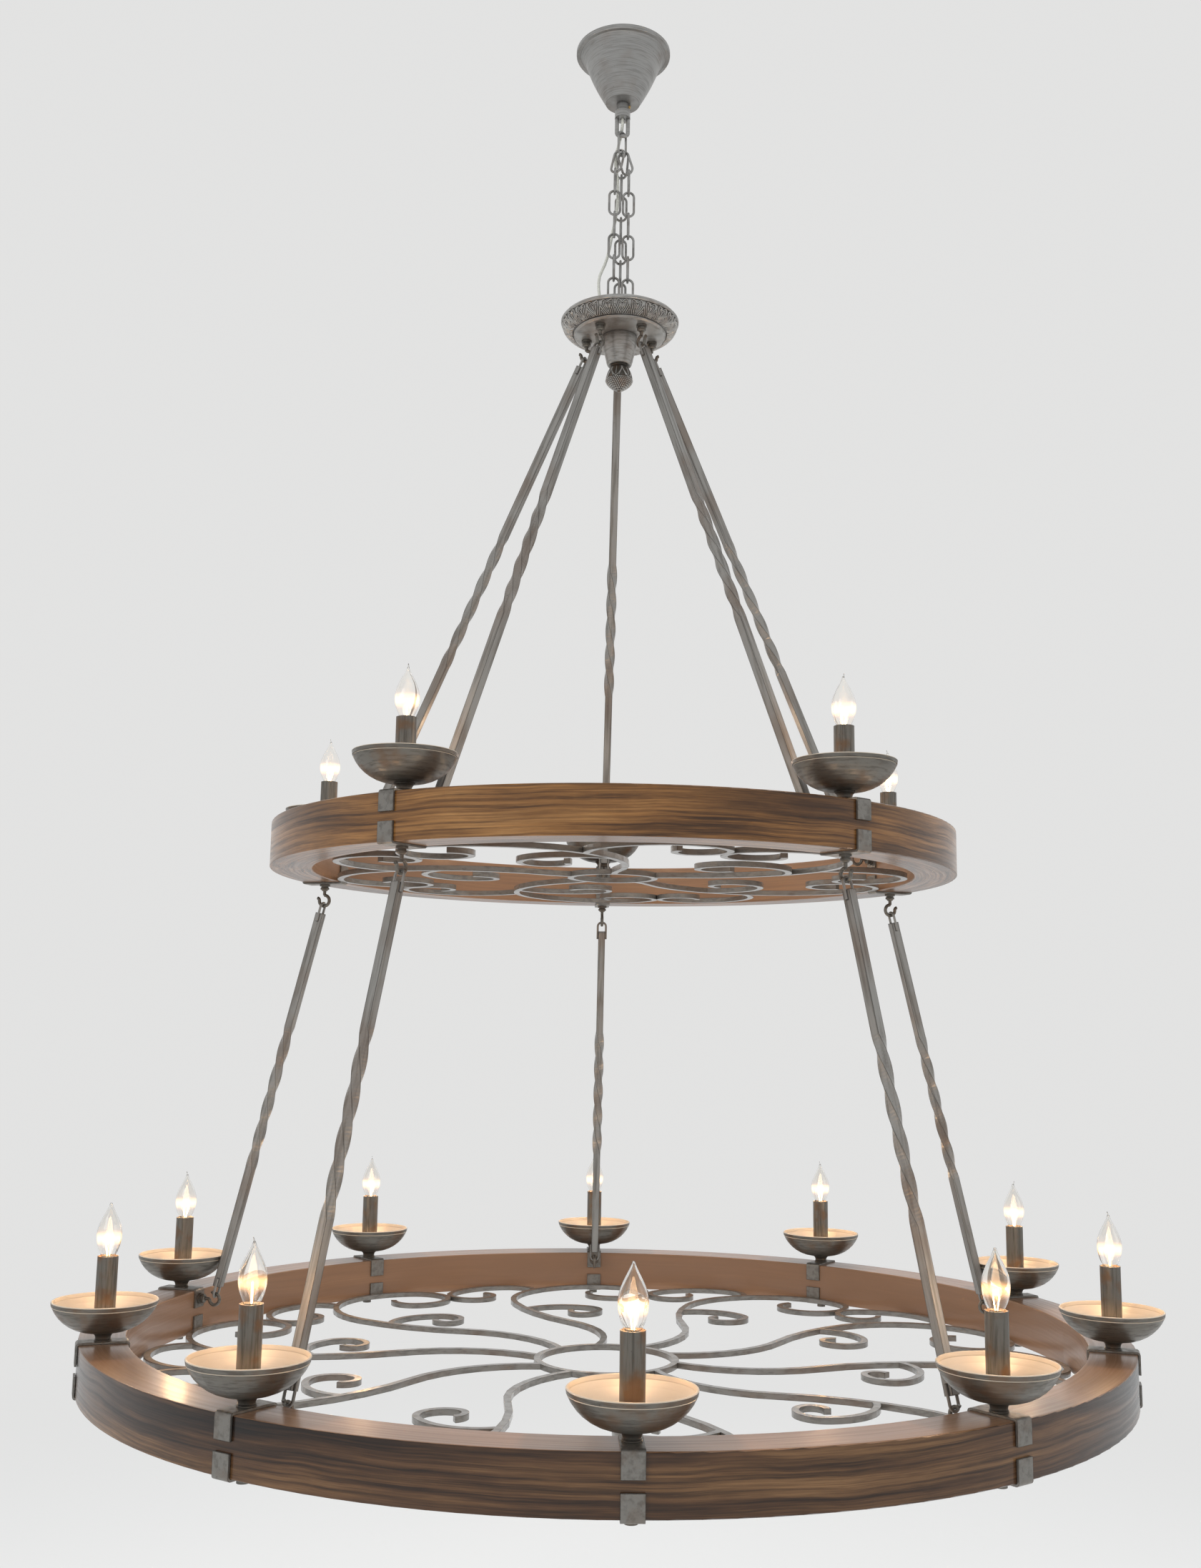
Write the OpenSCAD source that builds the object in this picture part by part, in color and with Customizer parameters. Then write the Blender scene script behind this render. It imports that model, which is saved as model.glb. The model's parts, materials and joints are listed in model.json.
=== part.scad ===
// Two tier ring chandelier with fifteen candle lights, hung from one ceiling point.
// The origin is the centre of the ceiling mount, Z points up and the front is at -Y.
// An azimuth of 0 is the front, and azimuths grow towards +X.

/* [Rings] */
// Outside diameter of the lower wood ring
lower_ring_d = 1524; // [1440:2:1640]
// Outside diameter of the upper wood ring
upper_ring_d = 1066; // [1000:2:1160]
// Radial width of the wood
ring_w = 64; // [58:1:76]
// Height of the wood
ring_h = 67; // [60:1:80]
// Radius of the eased edges on the wood
ring_edge = 1.5; // [0.5:0.1:2.5]
// Ceiling to the top of the upper ring
upper_drop = 1371; // [1300:1:1480]
// Ceiling to the top of the lower ring
lower_drop = 2106; // [1980:1:2260]

/* [Ceiling mount] */
// Length of the crossbar on the ceiling box
crossbar_l = 104; // [98:1:118]
// Width of the crossbar
crossbar_w = 22; // [18:1:30]
// Thickness of the crossbar
crossbar_t = 2.5; // [1.5:0.1:4]
// Distance between the two ceiling box screws
box_screw_spacing = 88.9; // [80:0.1:90]
// End to end length of a screw slot
slot_l = 9; // [7:0.5:11]
// Width of a screw slot
slot_w = 5; // [4:0.1:6]
// Outside diameter of the threaded nipple
nipple_d = 9.7; // [9:0.1:11]
// Bore of the threaded nipple
nipple_bore = 7; // [6.4:0.1:7.4]
// Width across the flats of the locknut
locknut_af = 14; // [13:0.5:18]
// Height of the locknut
locknut_h = 4; // [3:0.5:6]

/* [Canopy] */
// Diameter of the canopy's rim
canopy_d = 162; // [150:1:190]
// Height of the canopy
canopy_h = 96; // [80:1:120]
// Thickness of the canopy's sheet
canopy_wall = 1.5; // [1:0.1:2.5]
// Height of the canopy's flat rim
canopy_rim_h = 7; // [5:0.5:12]
// Diameter of the bell at the top, without its flare
canopy_shoulder_d = 133; // [120:1:138]
// How far the bell flares out to the rim
canopy_flare = 7.5; // [4:0.5:10]
// Diameter of the flat circle at the bell's foot
canopy_foot_d = 58; // [46:1:70]
// Diameter of the collar under the canopy
collar_d = 20; // [17:0.5:26]
// Height of the collar under the canopy
collar_h = 14; // [12:1:20]
// Diameter of the loop fitting
loop_d = 26.5; // [24:0.5:32]
// Height of the loop fitting's round head
loop_head_h = 14; // [12:1:18]
// Height of the open loop under the head
loop_open_h = 34.7; // [32:0.1:40]
// Diameter of the loop's rod
loop_rod_d = 7; // [6:0.2:7.4]

/* [Chain] */
// Length of one chain link
link_l = 48; // [44:1:56]
// Width of one chain link
link_w = 22.4; // [22.4:0.2:26]
// Diameter of the link wire
link_wire = 4; // [3.4:0.1:4]
// Play left between two parts that hang in each other
hang_play = 0.3; // [0.2:0.05:0.4]
// Straight links in each of the three chains
straight_links = 6; // [4:1:6]
// Distance of each chain from the centre
chain_r = 13.6; // [13:0.1:16]
// Diameter of the supply cord
cord_d = 5.2; // [4:0.1:5.6]

/* [Hub] */
// Diameter of the hub dish's rim
dish_d = 198; // [180:1:230]
// Height of the hub dish
dish_h = 27; // [24:1:36]
// Wall of the hub dish
dish_wall = 5; // [4:0.5:7]
// Diameter of the bead under the dish
dish_bead_d = 153; // [146:1:160]
// Height of the domed cover above the dish's rim
cover_h = 13; // [10:1:16]
// Thickness of the cover's sheet
cover_t = 1.5; // [1:0.1:2.5]
// Distance of the hub's hooks from the centre
hub_hook_r = 58; // [54:1:62]
// Height of the turned cone under the dish
cone_h = 51; // [40:1:60]
// Diameter of the cone at its top
cone_top_d = 58; // [52:1:62]
// Diameter of the cone at its foot
cone_foot_d = 42; // [36:1:46]
// Height of the finial under the cone
finial_h = 46; // [40:1:60]
// Widest diameter of the finial
finial_d = 44.4; // [38:0.2:50]
// Diameter of the finial's stud
finial_stud_d = 8; // [6:0.5:10]

/* [Hooks and bars] */
// Diameter of a hook's turned boss
boss_d = 17; // [15:0.5:20]
// Height of a hook's turned boss
boss_h = 9; // [8:0.5:12]
// Distance from a hook's seat to the middle of its curl
hook_reach = 27; // [25:1:32]
// Radius of a hook's curl at the middle of its rod
hook_r = 9; // [8.4:0.1:10]
// Diameter of a hook's rod
hook_rod = 5.4; // [4.6:0.2:5.6]
// Diameter of a hook's threaded shank
hook_shank_d = 6; // [5:0.5:7]
// Width of the square bars
bar_w = 12.7; // [11:0.1:15]
// Length of the twisted stretch of a bar
twist_l = 240; // [160:5:300]
// Turn of the twisted stretch in degrees
twist_turn = 450; // [270:90:540]
// Diameter of the wire bail at each end of a bar
bail_wire = 4; // [3:0.2:4.4]
// Length of a bail's legs beyond the bar's end
bail_leg = 10; // [9:0.5:16]
// Length of a bail's legs welded along the bar
bail_weld = 14; // [8:1:24]

/* [Straps] */
// Width of the strap iron
strap_w = 26; // [22:1:32]
// Thickness of the strap iron
strap_t = 3; // [2:0.1:4]
// Outside radius of a strap's bends
strap_bend = 4.5; // [4.2:0.1:6]
// Length of a strap's legs over the wood
strap_leg = 27; // [24:1:30]
// Play between a strap's legs and the wood
strap_play = 0.3; // [0.2:0.05:0.6]
// Distance from the top of the wood to a leg hook's middle
leg_hook_drop = 13; // [12:0.5:15]

/* [Scrollwork] */
// Width of the scroll bars seen from above
scroll_w = 10; // [8:0.2:10.4]
// Height of the scroll bars
scroll_h = 8; // [6:0.5:12]
// Play between the scrolls and the ring
scroll_play = 0.3; // [0.2:0.05:1]

/* [Lights] */
// Diameter of a cup's rim
cup_d = 141.8; // [120:0.2:150]
// Height of a cup
cup_h = 42; // [34:1:50]
// Thickness of a cup's sheet
cup_wall = 1.6; // [1.2:0.1:2.4]
// Height of the plain band around a cup's rim
cup_band_h = 7; // [5:0.5:9]
// Height of the turned stem under a cup
stem_h = 11.4; // [9:0.2:18]
// Diameter of the stem's foot
stem_foot_d = 23; // [21:0.5:25]
// Diameter of the stem's flared head
stem_head_d = 29; // [26:0.5:34]
// Diameter of the stem's waist
stem_waist_d = 20.5; // [15:0.5:21]
// Diameter of the threaded tube through a light and its ring
tube_d = 9.7; // [9:0.1:10.2]
// Bore of that tube
tube_bore = 7; // [5:0.1:7.4]
// Length of the thread below the lower straps
tube_tail = 6; // [5:0.5:8]
// Outside diameter of a candle sleeve
sleeve_d = 27.9; // [26:0.1:32]
// Wall of a candle sleeve
sleeve_wall = 1.2; // [0.8:0.1:1.8]
// Height of a candle sleeve on the lower ring
lower_sleeve_h = 98; // [80:1:120]
// Height of a candle sleeve on the upper ring
upper_sleeve_h = 88; // [76:1:110]
// Outside diameter of a lamp socket
socket_d = 21; // [18:0.5:23]
// Depth of the lamp socket under the sleeve's top
socket_drop = 4; // [2:0.5:8]
// Diameter of a bulb's screw base
bulb_base_d = 12; // [11.6:0.1:12.2]
// Length of a bulb's screw base
bulb_base_l = 17; // [14:0.5:20]
// Widest diameter of a bulb's glass
bulb_d = 33.3; // [28:0.1:35]
// Height of a bulb's glass above its socket
bulb_glass_h = 79; // [66:1:86]
// Thickness of a bulb's glass
bulb_wall = 0.8; // [0.6:0.1:1.2]
// Play between a bulb's base and its socket
base_play = 0.3; // [0.2:0.05:0.4]

/* [Hidden] */
$fn = 64;

// Finishes
PEWTER = [0.52, 0.50, 0.47];
DARK_PEWTER = [0.38, 0.36, 0.34];
WALNUT = [0.36, 0.22, 0.13];
STEEL = [0.70, 0.70, 0.68];
BRASS = [0.72, 0.56, 0.28];
CORD_CLEAR = [0.86, 0.86, 0.80];
PORCELAIN = [0.90, 0.89, 0.85];
BULB_GLASS = [1.0, 0.93, 0.78, 0.45];

// Azimuths of the bars, which are also the upper ring's lights
BAR_AZ = [-108, -36, 36, 108, 180];
// Azimuths of the lower ring's lights
LOWER_AZ = [-144, -108, -72, -36, 0, 36, 72, 108, 144, 180];

// Rings
upper_out_r = upper_ring_d / 2;
upper_in_r = upper_out_r - ring_w;
upper_mid_r = upper_out_r - ring_w / 2;
lower_out_r = lower_ring_d / 2;
lower_in_r = lower_out_r - ring_w;
lower_mid_r = lower_out_r - ring_w / 2;
rod_hole_play = 0.35;
rod_hole_d = tube_d + 2 * rod_hole_play;
leg_shank_l = 18;

// Canopy and loop heights
collar_z = -canopy_h;
loop_z = collar_z - collar_h;
loop_rod_z = loop_z - loop_head_h - loop_open_h + loop_rod_d / 2;
loop_leg_x = (loop_d - loop_rod_d) / 2 - 0.3;
loop_bend = 5.5;
nipple_end_z = loop_z - loop_head_h + 3;

// Chain: the distance between wire middles across a link and across a joint of two links
link_span = link_l - link_wire;
hang_gap = link_wire + hang_play;
link_pitch = link_span - hang_gap;
link_bend = (link_w - link_wire) / 2;
common_top_z = loop_rod_z + loop_rod_d / 2 + 2 * hang_play + link_wire / 2;
common_foot_z = common_top_z - link_span;
common_turn = 45;
// Three links share the common link's foot side by side, turned a little out of square
share_gap = link_wire + 0.4;
share_turn = 110;
splay_gap = hang_gap + 0.7;
share_play = 0.5;
share_rise = link_bend - sqrt(max(0.1, pow(link_bend - hang_gap - share_play, 2) - share_gap * share_gap));
CHAIN_AZ = [-60, 60, 180];
CHAIN_SEAT = [-1, 0, 1];

// Hub heights
function chain_xy(i) = chain_r * [sin(CHAIN_AZ[i]), -cos(CHAIN_AZ[i])];
function seat_xy(i) = CHAIN_SEAT[i] * share_gap * [cos(common_turn), sin(common_turn)];
function seat_z(i) = common_foot_z + (CHAIN_SEAT[i] == 0 ? splay_gap : share_rise);
function splay_foot_z(i) = seat_z(i)
    - sqrt(link_span * link_span - pow(norm(chain_xy(i) - seat_xy(i)), 2));
function chain_top_z(i) = splay_foot_z(i) + splay_gap;
function chain_foot_z(i) = chain_top_z(i) - link_span - (straight_links - 1) * link_pitch;
// Height of the hub's loops over its cover
hub_loop_stand = 12;
cover_top_z = chain_foot_z(1) + hang_gap - link_bend - hub_loop_stand;
dish_z = cover_top_z - cover_h;
dish_r = dish_d / 2;
dish_foot_z = dish_z - dish_h;
dish_bead_r = dish_bead_d / 2;
dish_bead = 3;
cone_foot_z = dish_foot_z - cone_h;
cord_hole_x = -34;
cord_hole_play = 0.5;

// Hooks: where the curls of a bar's two hooks are, in the plane of the bar
load_gap = hook_r - hook_rod / 2 - bail_wire / 2 - hang_play;
bail_r = (bar_w + bail_wire) / 2 - 0.6;
HUB_CURL = [hub_hook_r, dish_foot_z - hook_reach];
UPPER_LEG_CURL = [upper_in_r - strap_t - strap_play - hook_reach, -upper_drop - leg_hook_drop];
UNDER_CURL = [upper_mid_r, -upper_drop - ring_h - strap_t - hook_reach];
LOWER_LEG_CURL = [lower_in_r - strap_t - strap_play - hook_reach, -lower_drop - leg_hook_drop];
boss_neck_d = boss_d - 5;
boss_low_d = boss_d - 2.4;
boss_end_d = hook_rod + 3;

// Straps
strap_span = ring_w + 2 * strap_play;
cap_nut_d = 15;
cap_nut_h = 9;

// Scrollwork: each run is the radius of a bend and how far it turns, left bends positive
LOWER_HUB_R = 104;
LOWER_START = [LOWER_HUB_R, 0, -25];
LOWER_ARM = [[203, 63], [390, -29], [165, -77], [138, -54], [62, -180], [38, -95]];
LOWER_CURL = [[84, -86], [36, -135], [20, -138]];
LOWER_RIM = [[49, 78], [115, 76], [43, 140], [32, 116]];
UPPER_HUB_R = 67;
UPPER_START = [UPPER_HUB_R, 0, -6];
UPPER_ARM = [[127, 21], [239, -58], [187, -63], [99, -87], [50, -166], [31, -95]];
UPPER_CURL = [[90, -104], [54, -63], [33, -158]];
UPPER_RIM = [[120, 75], [88, 74], [45, 112], [32, 132]];

// Lights, with heights counted from the top of the wood
stem_z = strap_t;
cup_z = stem_z + stem_h;
floor_z = cup_z + cup_wall;
seat_play = 0.3;
sleeve_z = floor_z + seat_play;
stem_bead_h = 3;
socket_bore_play = base_play;
tube_top = 26;
// Lights with a smooth pointed bulb instead of a bent tip
SMOOTH_BULBS = [8, 10, 11];

// Turns copies about the centre to each azimuth, so that their local X points outwards.
module at_azimuths(list) {
    for (az = list) {
        rotate([0, 0, az - 90]) children();
    }
}

// A straight rod from the origin along Z.
module rod(d, h) {
    cylinder(d = d, h = h);
}

// A bend of round rod in the XZ plane, about the origin, from one angle through a turn.
module rod_bend(r, d, from, turn) {
    rotate([90, 0, 0]) rotate([0, 0, from]) rotate_extrude(angle = turn) translate([r, 0]) circle(d = d);
}

// A square with rounded corners, drawn from its lower left corner.
module eased_square(w, h, r) {
    translate([r, 0]) square([w - 2 * r, h]);
    translate([0, r]) square([w, h - 2 * r]);
    for (x = [r, w - r], y = [r, h - r]) {
        translate([x, y]) circle(r = r, $fn = 24);
    }
}

// Ceiling mount

module crossbar_slot() {
    run = (slot_l - slot_w) / 2;
    for (x = [-run, run]) {
        translate([x, 0, -crossbar_t - 1]) rod(slot_w, crossbar_t + 2);
    }
    translate([-run, -slot_w / 2, -crossbar_t - 1]) cube([2 * run, slot_w, crossbar_t + 2]);
}

module ceiling_crossbar() {
    color(STEEL) difference() {
        translate([-crossbar_l / 2, -crossbar_w / 2, -crossbar_t])
            cube([crossbar_l, crossbar_w, crossbar_t]);
        translate([0, 0, -crossbar_t - 1]) rod(nipple_d + 0.2, crossbar_t + 2);
        for (side = [-1, 1]) {
            translate([side * box_screw_spacing / 2, 0, 0]) crossbar_slot();
        }
    }
}

module nipple_locknut() {
    color(STEEL) translate([0, 0, -crossbar_t - locknut_h]) difference() {
        cylinder(d = locknut_af / cos(30), h = locknut_h, $fn = 6);
        translate([0, 0, -1]) rod(nipple_d + 0.2, locknut_h + 2);
    }
}

module threaded_nipple() {
    color(STEEL) translate([0, 0, nipple_end_z]) difference() {
        rod(nipple_d, -nipple_end_z);
        translate([0, 0, -1]) rod(nipple_bore, 2 - nipple_end_z);
    }
}

// The bell's outside radius at a share of its height, from the rim down to the foot. The wall is
// nearly straight, turns in a little towards the foot and flares out quickly at the rim.
function bell_r(t) = canopy_foot_d / 2 + (canopy_shoulder_d - canopy_foot_d) / 2 * (1 - pow(t, 1.4))
    + canopy_flare * pow(1 - t, 12);
function bell_z(t) = -canopy_rim_h - t * (canopy_h - canopy_rim_h);
BELL_STEPS = 12;
BELL_SHARES = [for (i = [0 : BELL_STEPS]) pow(i / BELL_STEPS, 1.6)];

module canopy() {
    outer = [for (t = BELL_SHARES) [bell_r(t), bell_z(t)]];
    inner = [for (i = [BELL_STEPS : -1 : 0]) let (t = BELL_SHARES[i])
        [bell_r(t) - canopy_wall, bell_z(t) + (i == BELL_STEPS ? canopy_wall : 0)]];
    rim = canopy_d / 2;
    hole = nipple_d / 2 + 0.4;
    color(PEWTER) rotate_extrude() polygon(concat(
        [[rim - canopy_wall, 0], [rim, 0], [rim, -canopy_rim_h + canopy_wall],
         [rim - canopy_wall, -canopy_rim_h]],
        outer,
        [[hole, -canopy_h], [hole, -canopy_h + canopy_wall]],
        inner,
        [[bell_r(0) - canopy_wall, -canopy_rim_h + canopy_wall],
         [rim - canopy_wall, -canopy_rim_h + canopy_wall]]
    ));
}

module canopy_collar() {
    screw_d = 3;
    color(PEWTER) difference() {
        translate([0, 0, loop_z]) rod(collar_d, collar_h);
        translate([0, 0, loop_z - 1]) rod(nipple_d + 0.2, collar_h + 2);
        translate([0, 0, collar_z - collar_h / 3]) rotate([0, 90, 0]) rod(screw_d + 0.2, collar_d);
    }
}

module collar_set_screw() {
    screw_d = 3;
    head_d = 5.5;
    head_l = 3;
    color(BRASS) translate([0, 0, collar_z - collar_h / 3]) rotate([0, 90, 0]) {
        translate([0, 0, nipple_d / 2 + 0.2]) rod(screw_d, (collar_d - nipple_d) / 2 + 1);
        translate([0, 0, collar_d / 2 + 0.5]) rod(head_d, head_l);
    }
}

module canopy_loop() {
    leg_top = loop_z - loop_head_h;
    bend_z = loop_rod_z + loop_bend;
    head_bore_z = nipple_end_z - 0.3;
    color(PEWTER) {
        difference() {
            translate([0, 0, leg_top]) rod(loop_d, loop_head_h);
            translate([0, 0, head_bore_z]) rod(nipple_d + 0.2, loop_head_h);
            translate([0, 0, leg_top - 1]) rod(nipple_bore, loop_head_h);
        }
        for (side = [-1, 1]) {
            translate([side * loop_leg_x, 0, bend_z]) rod(loop_rod_d, leg_top + 1 - bend_z);
        }
        translate([loop_leg_x - loop_bend, 0, bend_z]) rod_bend(loop_bend, loop_rod_d, 270, 90);
        translate([-loop_leg_x + loop_bend, 0, bend_z]) rod_bend(loop_bend, loop_rod_d, 180, 90);
        translate([-loop_leg_x + loop_bend, 0, loop_rod_z]) rotate([0, 90, 0])
            rod(loop_rod_d, 2 * (loop_leg_x - loop_bend));
    }
}

// Chain

// A link with the middle of its wire's top at the origin, hanging down in the XZ plane.
module link() {
    straight = link_span - 2 * link_bend;
    translate([0, 0, -link_bend]) {
        rod_bend(link_bend, link_wire, 0, 180);
        for (side = [-1, 1]) {
            translate([side * link_bend, 0, -straight]) rod(link_wire, straight);
        }
        translate([0, 0, -straight]) rod_bend(link_bend, link_wire, 180, 180);
    }
}

module common_link() {
    color(PEWTER) translate([0, 0, common_top_z]) rotate([0, 0, common_turn]) link();
}

// The first link of a chain leans from the common link out to its own chain's line.
module splayed_link(i) {
    top = [seat_xy(i)[0], seat_xy(i)[1], seat_z(i)];
    foot = [chain_xy(i)[0], chain_xy(i)[1], splay_foot_z(i)];
    lean = foot - top;
    translate(top)
        rotate(a = acos(-lean[2] / norm(lean)), v = [lean[1], -lean[0], 0])
        rotate([0, 0, common_turn + share_turn]) link();
}

module chain_links() {
    color(PEWTER) for (i = [0 : 2]) {
        splayed_link(i);
        for (n = [0 : straight_links - 1]) {
            translate([chain_xy(i)[0], chain_xy(i)[1], chain_top_z(i) - n * link_pitch])
                rotate([0, 0, n % 2 == 0 ? 90 : 0]) link();
        }
    }
}

// Supply cord

CORD_SIDES = 10;
// The cord's middle beside the common link, from the loop's mouth down
LINK_ROUTE = [[0, 0, -130], [0, 0.8, -134], [-0.6, 3.6, -140.5], [-1.8, 7, -148], [-3.6, 9, -157],
              [-5.8, 9.4, -167], [-8.4, 8.4, -178]];
// The cord's middle from there to the hub's cover
DROP_ROUTE = [[-8.5, 8.3, -179.8], [-10.2, 7, -187], [-11, 5.8, -197], [-10.6, 5.6, -207],
              [-9, 5.4, -219], [-7.2, 5.2, -233], [-6.2, 5.2, -247], [-6, 5.2, -262], [-6.4, 5.6, -278],
              [-8, 6.6, -295], [-10.6, 7.8, -312], [-13.8, 8.3, -328], [-16.6, 8.4, -344],
              [-19.2, 8.2, -360], [-22.4, 7.6, -376], [-26.6, 6.8, -390], [-31.4, 5.6, -402],
              [-35.2, 4.4, -413], [-36.8, 3.4, -425], [-36.4, 2.4, -438], [-35, 1.2, -451],
              [-34.2, 0.3, -464], [-34, 0, -476], [-34, 0, -490]];

// The direction of the route at one of its points.
function route_way(p, i) =
    let (a = p[max(i - 1, 0)], b = p[min(i + 1, len(p) - 1)]) (b - a) / norm(b - a);

// A ring of points around the route at one of its points.
function cord_ring(p, i, d) =
    let (w = i == 0 || i == len(p) - 1 ? [0, 0, -1] : route_way(p, i),
         e = [1, 0, 0] - w * w[0],
         u = e / norm(e),
         v = cross(w, u))
    [for (s = [0 : CORD_SIDES - 1])
        p[i] + d / 2 * (cos(360 * s / CORD_SIDES) * u + sin(360 * s / CORD_SIDES) * v)];

// A tube swept along a route, closed at both ends.
module cord_tube(p, d) {
    n = len(p);
    points = [for (i = [0 : n - 1]) each cord_ring(p, i, d)];
    sides = [for (i = [0 : n - 2], s = [0 : CORD_SIDES - 1])
        let (t = (s + 1) % CORD_SIDES, a = i * CORD_SIDES, b = a + CORD_SIDES)
        each [[a + s, b + s, b + t], [a + s, b + t, a + t]]];
    top = [for (s = [1 : CORD_SIDES - 2]) [0, s, s + 1]];
    last = (n - 1) * CORD_SIDES;
    foot = [for (s = [1 : CORD_SIDES - 2]) [last, last + s + 1, last + s]];
    polyhedron(points = points, faces = concat(sides, top, foot), convexity = 4);
}

module canopy_cord() {
    color(CORD_CLEAR) translate([0, 0, LINK_ROUTE[0][2] + 0.3]) rod(cord_d, -LINK_ROUTE[0][2] - 1);
}

module link_cord() {
    color(CORD_CLEAR) cord_tube(LINK_ROUTE, cord_d);
}

module supply_cord() {
    color(CORD_CLEAR) cord_tube(DROP_ROUTE, cord_d);
}

// Hub

module hub_loops() {
    stud_l = 9;
    color(PEWTER) for (i = [0 : 2]) {
        crown_z = chain_foot_z(i) + hang_gap;
        translate([chain_xy(i)[0], chain_xy(i)[1], crown_z - link_bend]) rotate([0, 0, 90]) {
            rod_bend(link_bend, link_wire, 0, 360);
            translate([0, 0, cover_top_z - crown_z + link_bend - stud_l])
                rod(link_wire + 1, crown_z - 2 * link_bend - cover_top_z + stud_l + link_wire / 4);
        }
    }
}

module hub_cover() {
    flat_r = 44;
    edge_r = dish_r - 2;
    steps = 6;
    outer = [for (i = [0 : steps]) let (a = 90 * i / steps)
        [flat_r + (edge_r - flat_r) * sin(a), dish_z + cover_h * cos(a)]];
    inner = [for (i = [steps : -1 : 0]) let (a = 90 * i / steps)
        [flat_r - cover_t + (edge_r - flat_r) * sin(a), dish_z - cover_t + cover_h * cos(a)]];
    color(DARK_PEWTER) difference() {
        rotate_extrude() polygon(concat([[0, dish_z + cover_h]], outer, [[edge_r, dish_z + 0.2],
            [edge_r - cover_t, dish_z + 0.2]],
            [for (p = inner) if (p[1] > dish_z + 0.3) p], [[0, dish_z + cover_h - cover_t]]));
        translate([cord_hole_x, 0, dish_z]) rod(cord_d + 2 * cord_hole_play, cover_h + 1);
        for (i = [0 : 2]) {
            translate([chain_xy(i)[0], chain_xy(i)[1], dish_z]) rod(link_wire + 1.6, cover_h + 1);
        }
    }
}

module hub_dish() {
    color(PEWTER) difference() {
        rotate_extrude() polygon(concat(
            [[dish_r - dish_wall, dish_z], [dish_r - 1, dish_z], [dish_r, dish_z - 1],
             [dish_r, dish_z - 3], [dish_r - 1.2, dish_z - 4.2]],
            [for (a = [0 : 15 : 90]) [dish_bead_r + 2 + (dish_r - 4 - dish_bead_r - 2) * cos(a),
                dish_z - 5 - (dish_h - 5 - 2 * dish_bead) * sin(a)]],
            [for (a = [90 : -30 : -90]) [dish_bead_r + dish_bead / 2 * cos(a) - 0.5,
                dish_foot_z + dish_bead + dish_bead / 2 * sin(a)]],
            [[dish_bead_r - 3, dish_foot_z], [finial_stud_d / 2 + 0.3, dish_foot_z],
             [finial_stud_d / 2 + 0.3, dish_foot_z + dish_wall], [dish_bead_r - 6, dish_foot_z + dish_wall]],
            [for (a = [60 : -15 : 0]) [dish_bead_r - 6 + (dish_r - dish_wall - dish_bead_r + 6) * cos(a),
                dish_z - (dish_h - dish_wall) * sin(a)]]
        ));
        at_azimuths(BAR_AZ) translate([hub_hook_r, 0, dish_foot_z - 1])
            rod(hook_shank_d + 0.3, dish_wall + 2);
    }
}

module hub_cone() {
    top = cone_top_d / 2;
    foot = cone_foot_d / 2;
    color(PEWTER) translate([0, 0, cone_foot_z]) rotate_extrude() polygon([
        [finial_stud_d / 2 + 0.3, 0], [foot - 2.5, 0], [foot - 1, 1], [foot, 3],
        for (t = [0.12 : 0.08 : 0.92]) [foot + (top - foot) * pow(sin(90 * t), 1.3), cone_h * t],
        [top, cone_h], [finial_stud_d / 2 + 0.3, cone_h]]);
}

module hub_finial() {
    neck_h = 5;
    leaf_h = 0.48 * (finial_h - neck_h);
    cone_tip_h = finial_h - neck_h - leaf_h;
    r = finial_d / 2;
    neck_r = 15;
    stud_l = cone_h + dish_wall + 6;
    color(DARK_PEWTER) translate([0, 0, cone_foot_z]) {
        rotate_extrude() polygon(concat(
            [[0, 0], [neck_r, 0], [neck_r, -2], [neck_r - 2, -3], [neck_r - 1, -neck_h]],
            [for (t = [0 : 0.25 : 1]) [neck_r + (r - 1 - neck_r) * sin(90 * t), -neck_h - t * leaf_h]],
            [for (t = [0 : 0.125 : 1])
                [r * (1 - pow(t, 1.8)), -neck_h - leaf_h - 1 - (cone_tip_h - 1) * t]]
        ));
        rod(finial_stud_d, stud_l);
    }
}

// Hooks and bars

// A hook seated on the plane Z = 0, with its boss and curl below and its shank above.
module hook(shank_l) {
    step = boss_h / 3;
    lip_r = 5;
    translate([0, 0, -step]) rod(boss_d, step);
    translate([0, 0, -2 * step + 0.6]) rod(boss_neck_d, step);
    translate([0, 0, -boss_h + 0.6]) rod(boss_low_d, step);
    translate([0, 0, -boss_h - 2]) cylinder(d1 = boss_end_d, d2 = boss_neck_d, h = 2.6);
    translate([0, 0, -hook_reach + hook_r]) rod(hook_rod, hook_reach - hook_r - boss_h);
    translate([0, 0, -hook_reach]) rod_bend(hook_r, hook_rod, 90, 270);
    translate([hook_r + lip_r, 0, -hook_reach]) mirror([0, 0, 1]) rod_bend(lip_r, hook_rod, 180, 70);
    if (shank_l > 0) {
        rod(hook_shank_d, shank_l);
    }
}

// Places a hook on the hub, under a strap, or on a strap's inner leg.
module hub_hooks() {
    color(PEWTER) at_azimuths(BAR_AZ) translate([hub_hook_r, 0, dish_foot_z]) hook(dish_wall + 2);
}

// A hook's boss is drilled where a light's threaded tube ends in it.
module hanger_hook() {
    difference() {
        hook(0);
        translate([0, 0, -tube_tail - 0.3]) rod(rod_hole_d, tube_tail + 1);
    }
}

module leg_hook(curl) {
    translate([curl[0] + hook_reach, 0, curl[1]]) rotate([0, 90, 0]) mirror([1, 0, 0]) hook(leg_shank_l);
}

module upper_ring_hooks() {
    color(PEWTER) at_azimuths(BAR_AZ) {
        leg_hook(UPPER_LEG_CURL);
        translate([UNDER_CURL[0], 0, UNDER_CURL[1] + hook_reach]) hanger_hook();
    }
}

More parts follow.
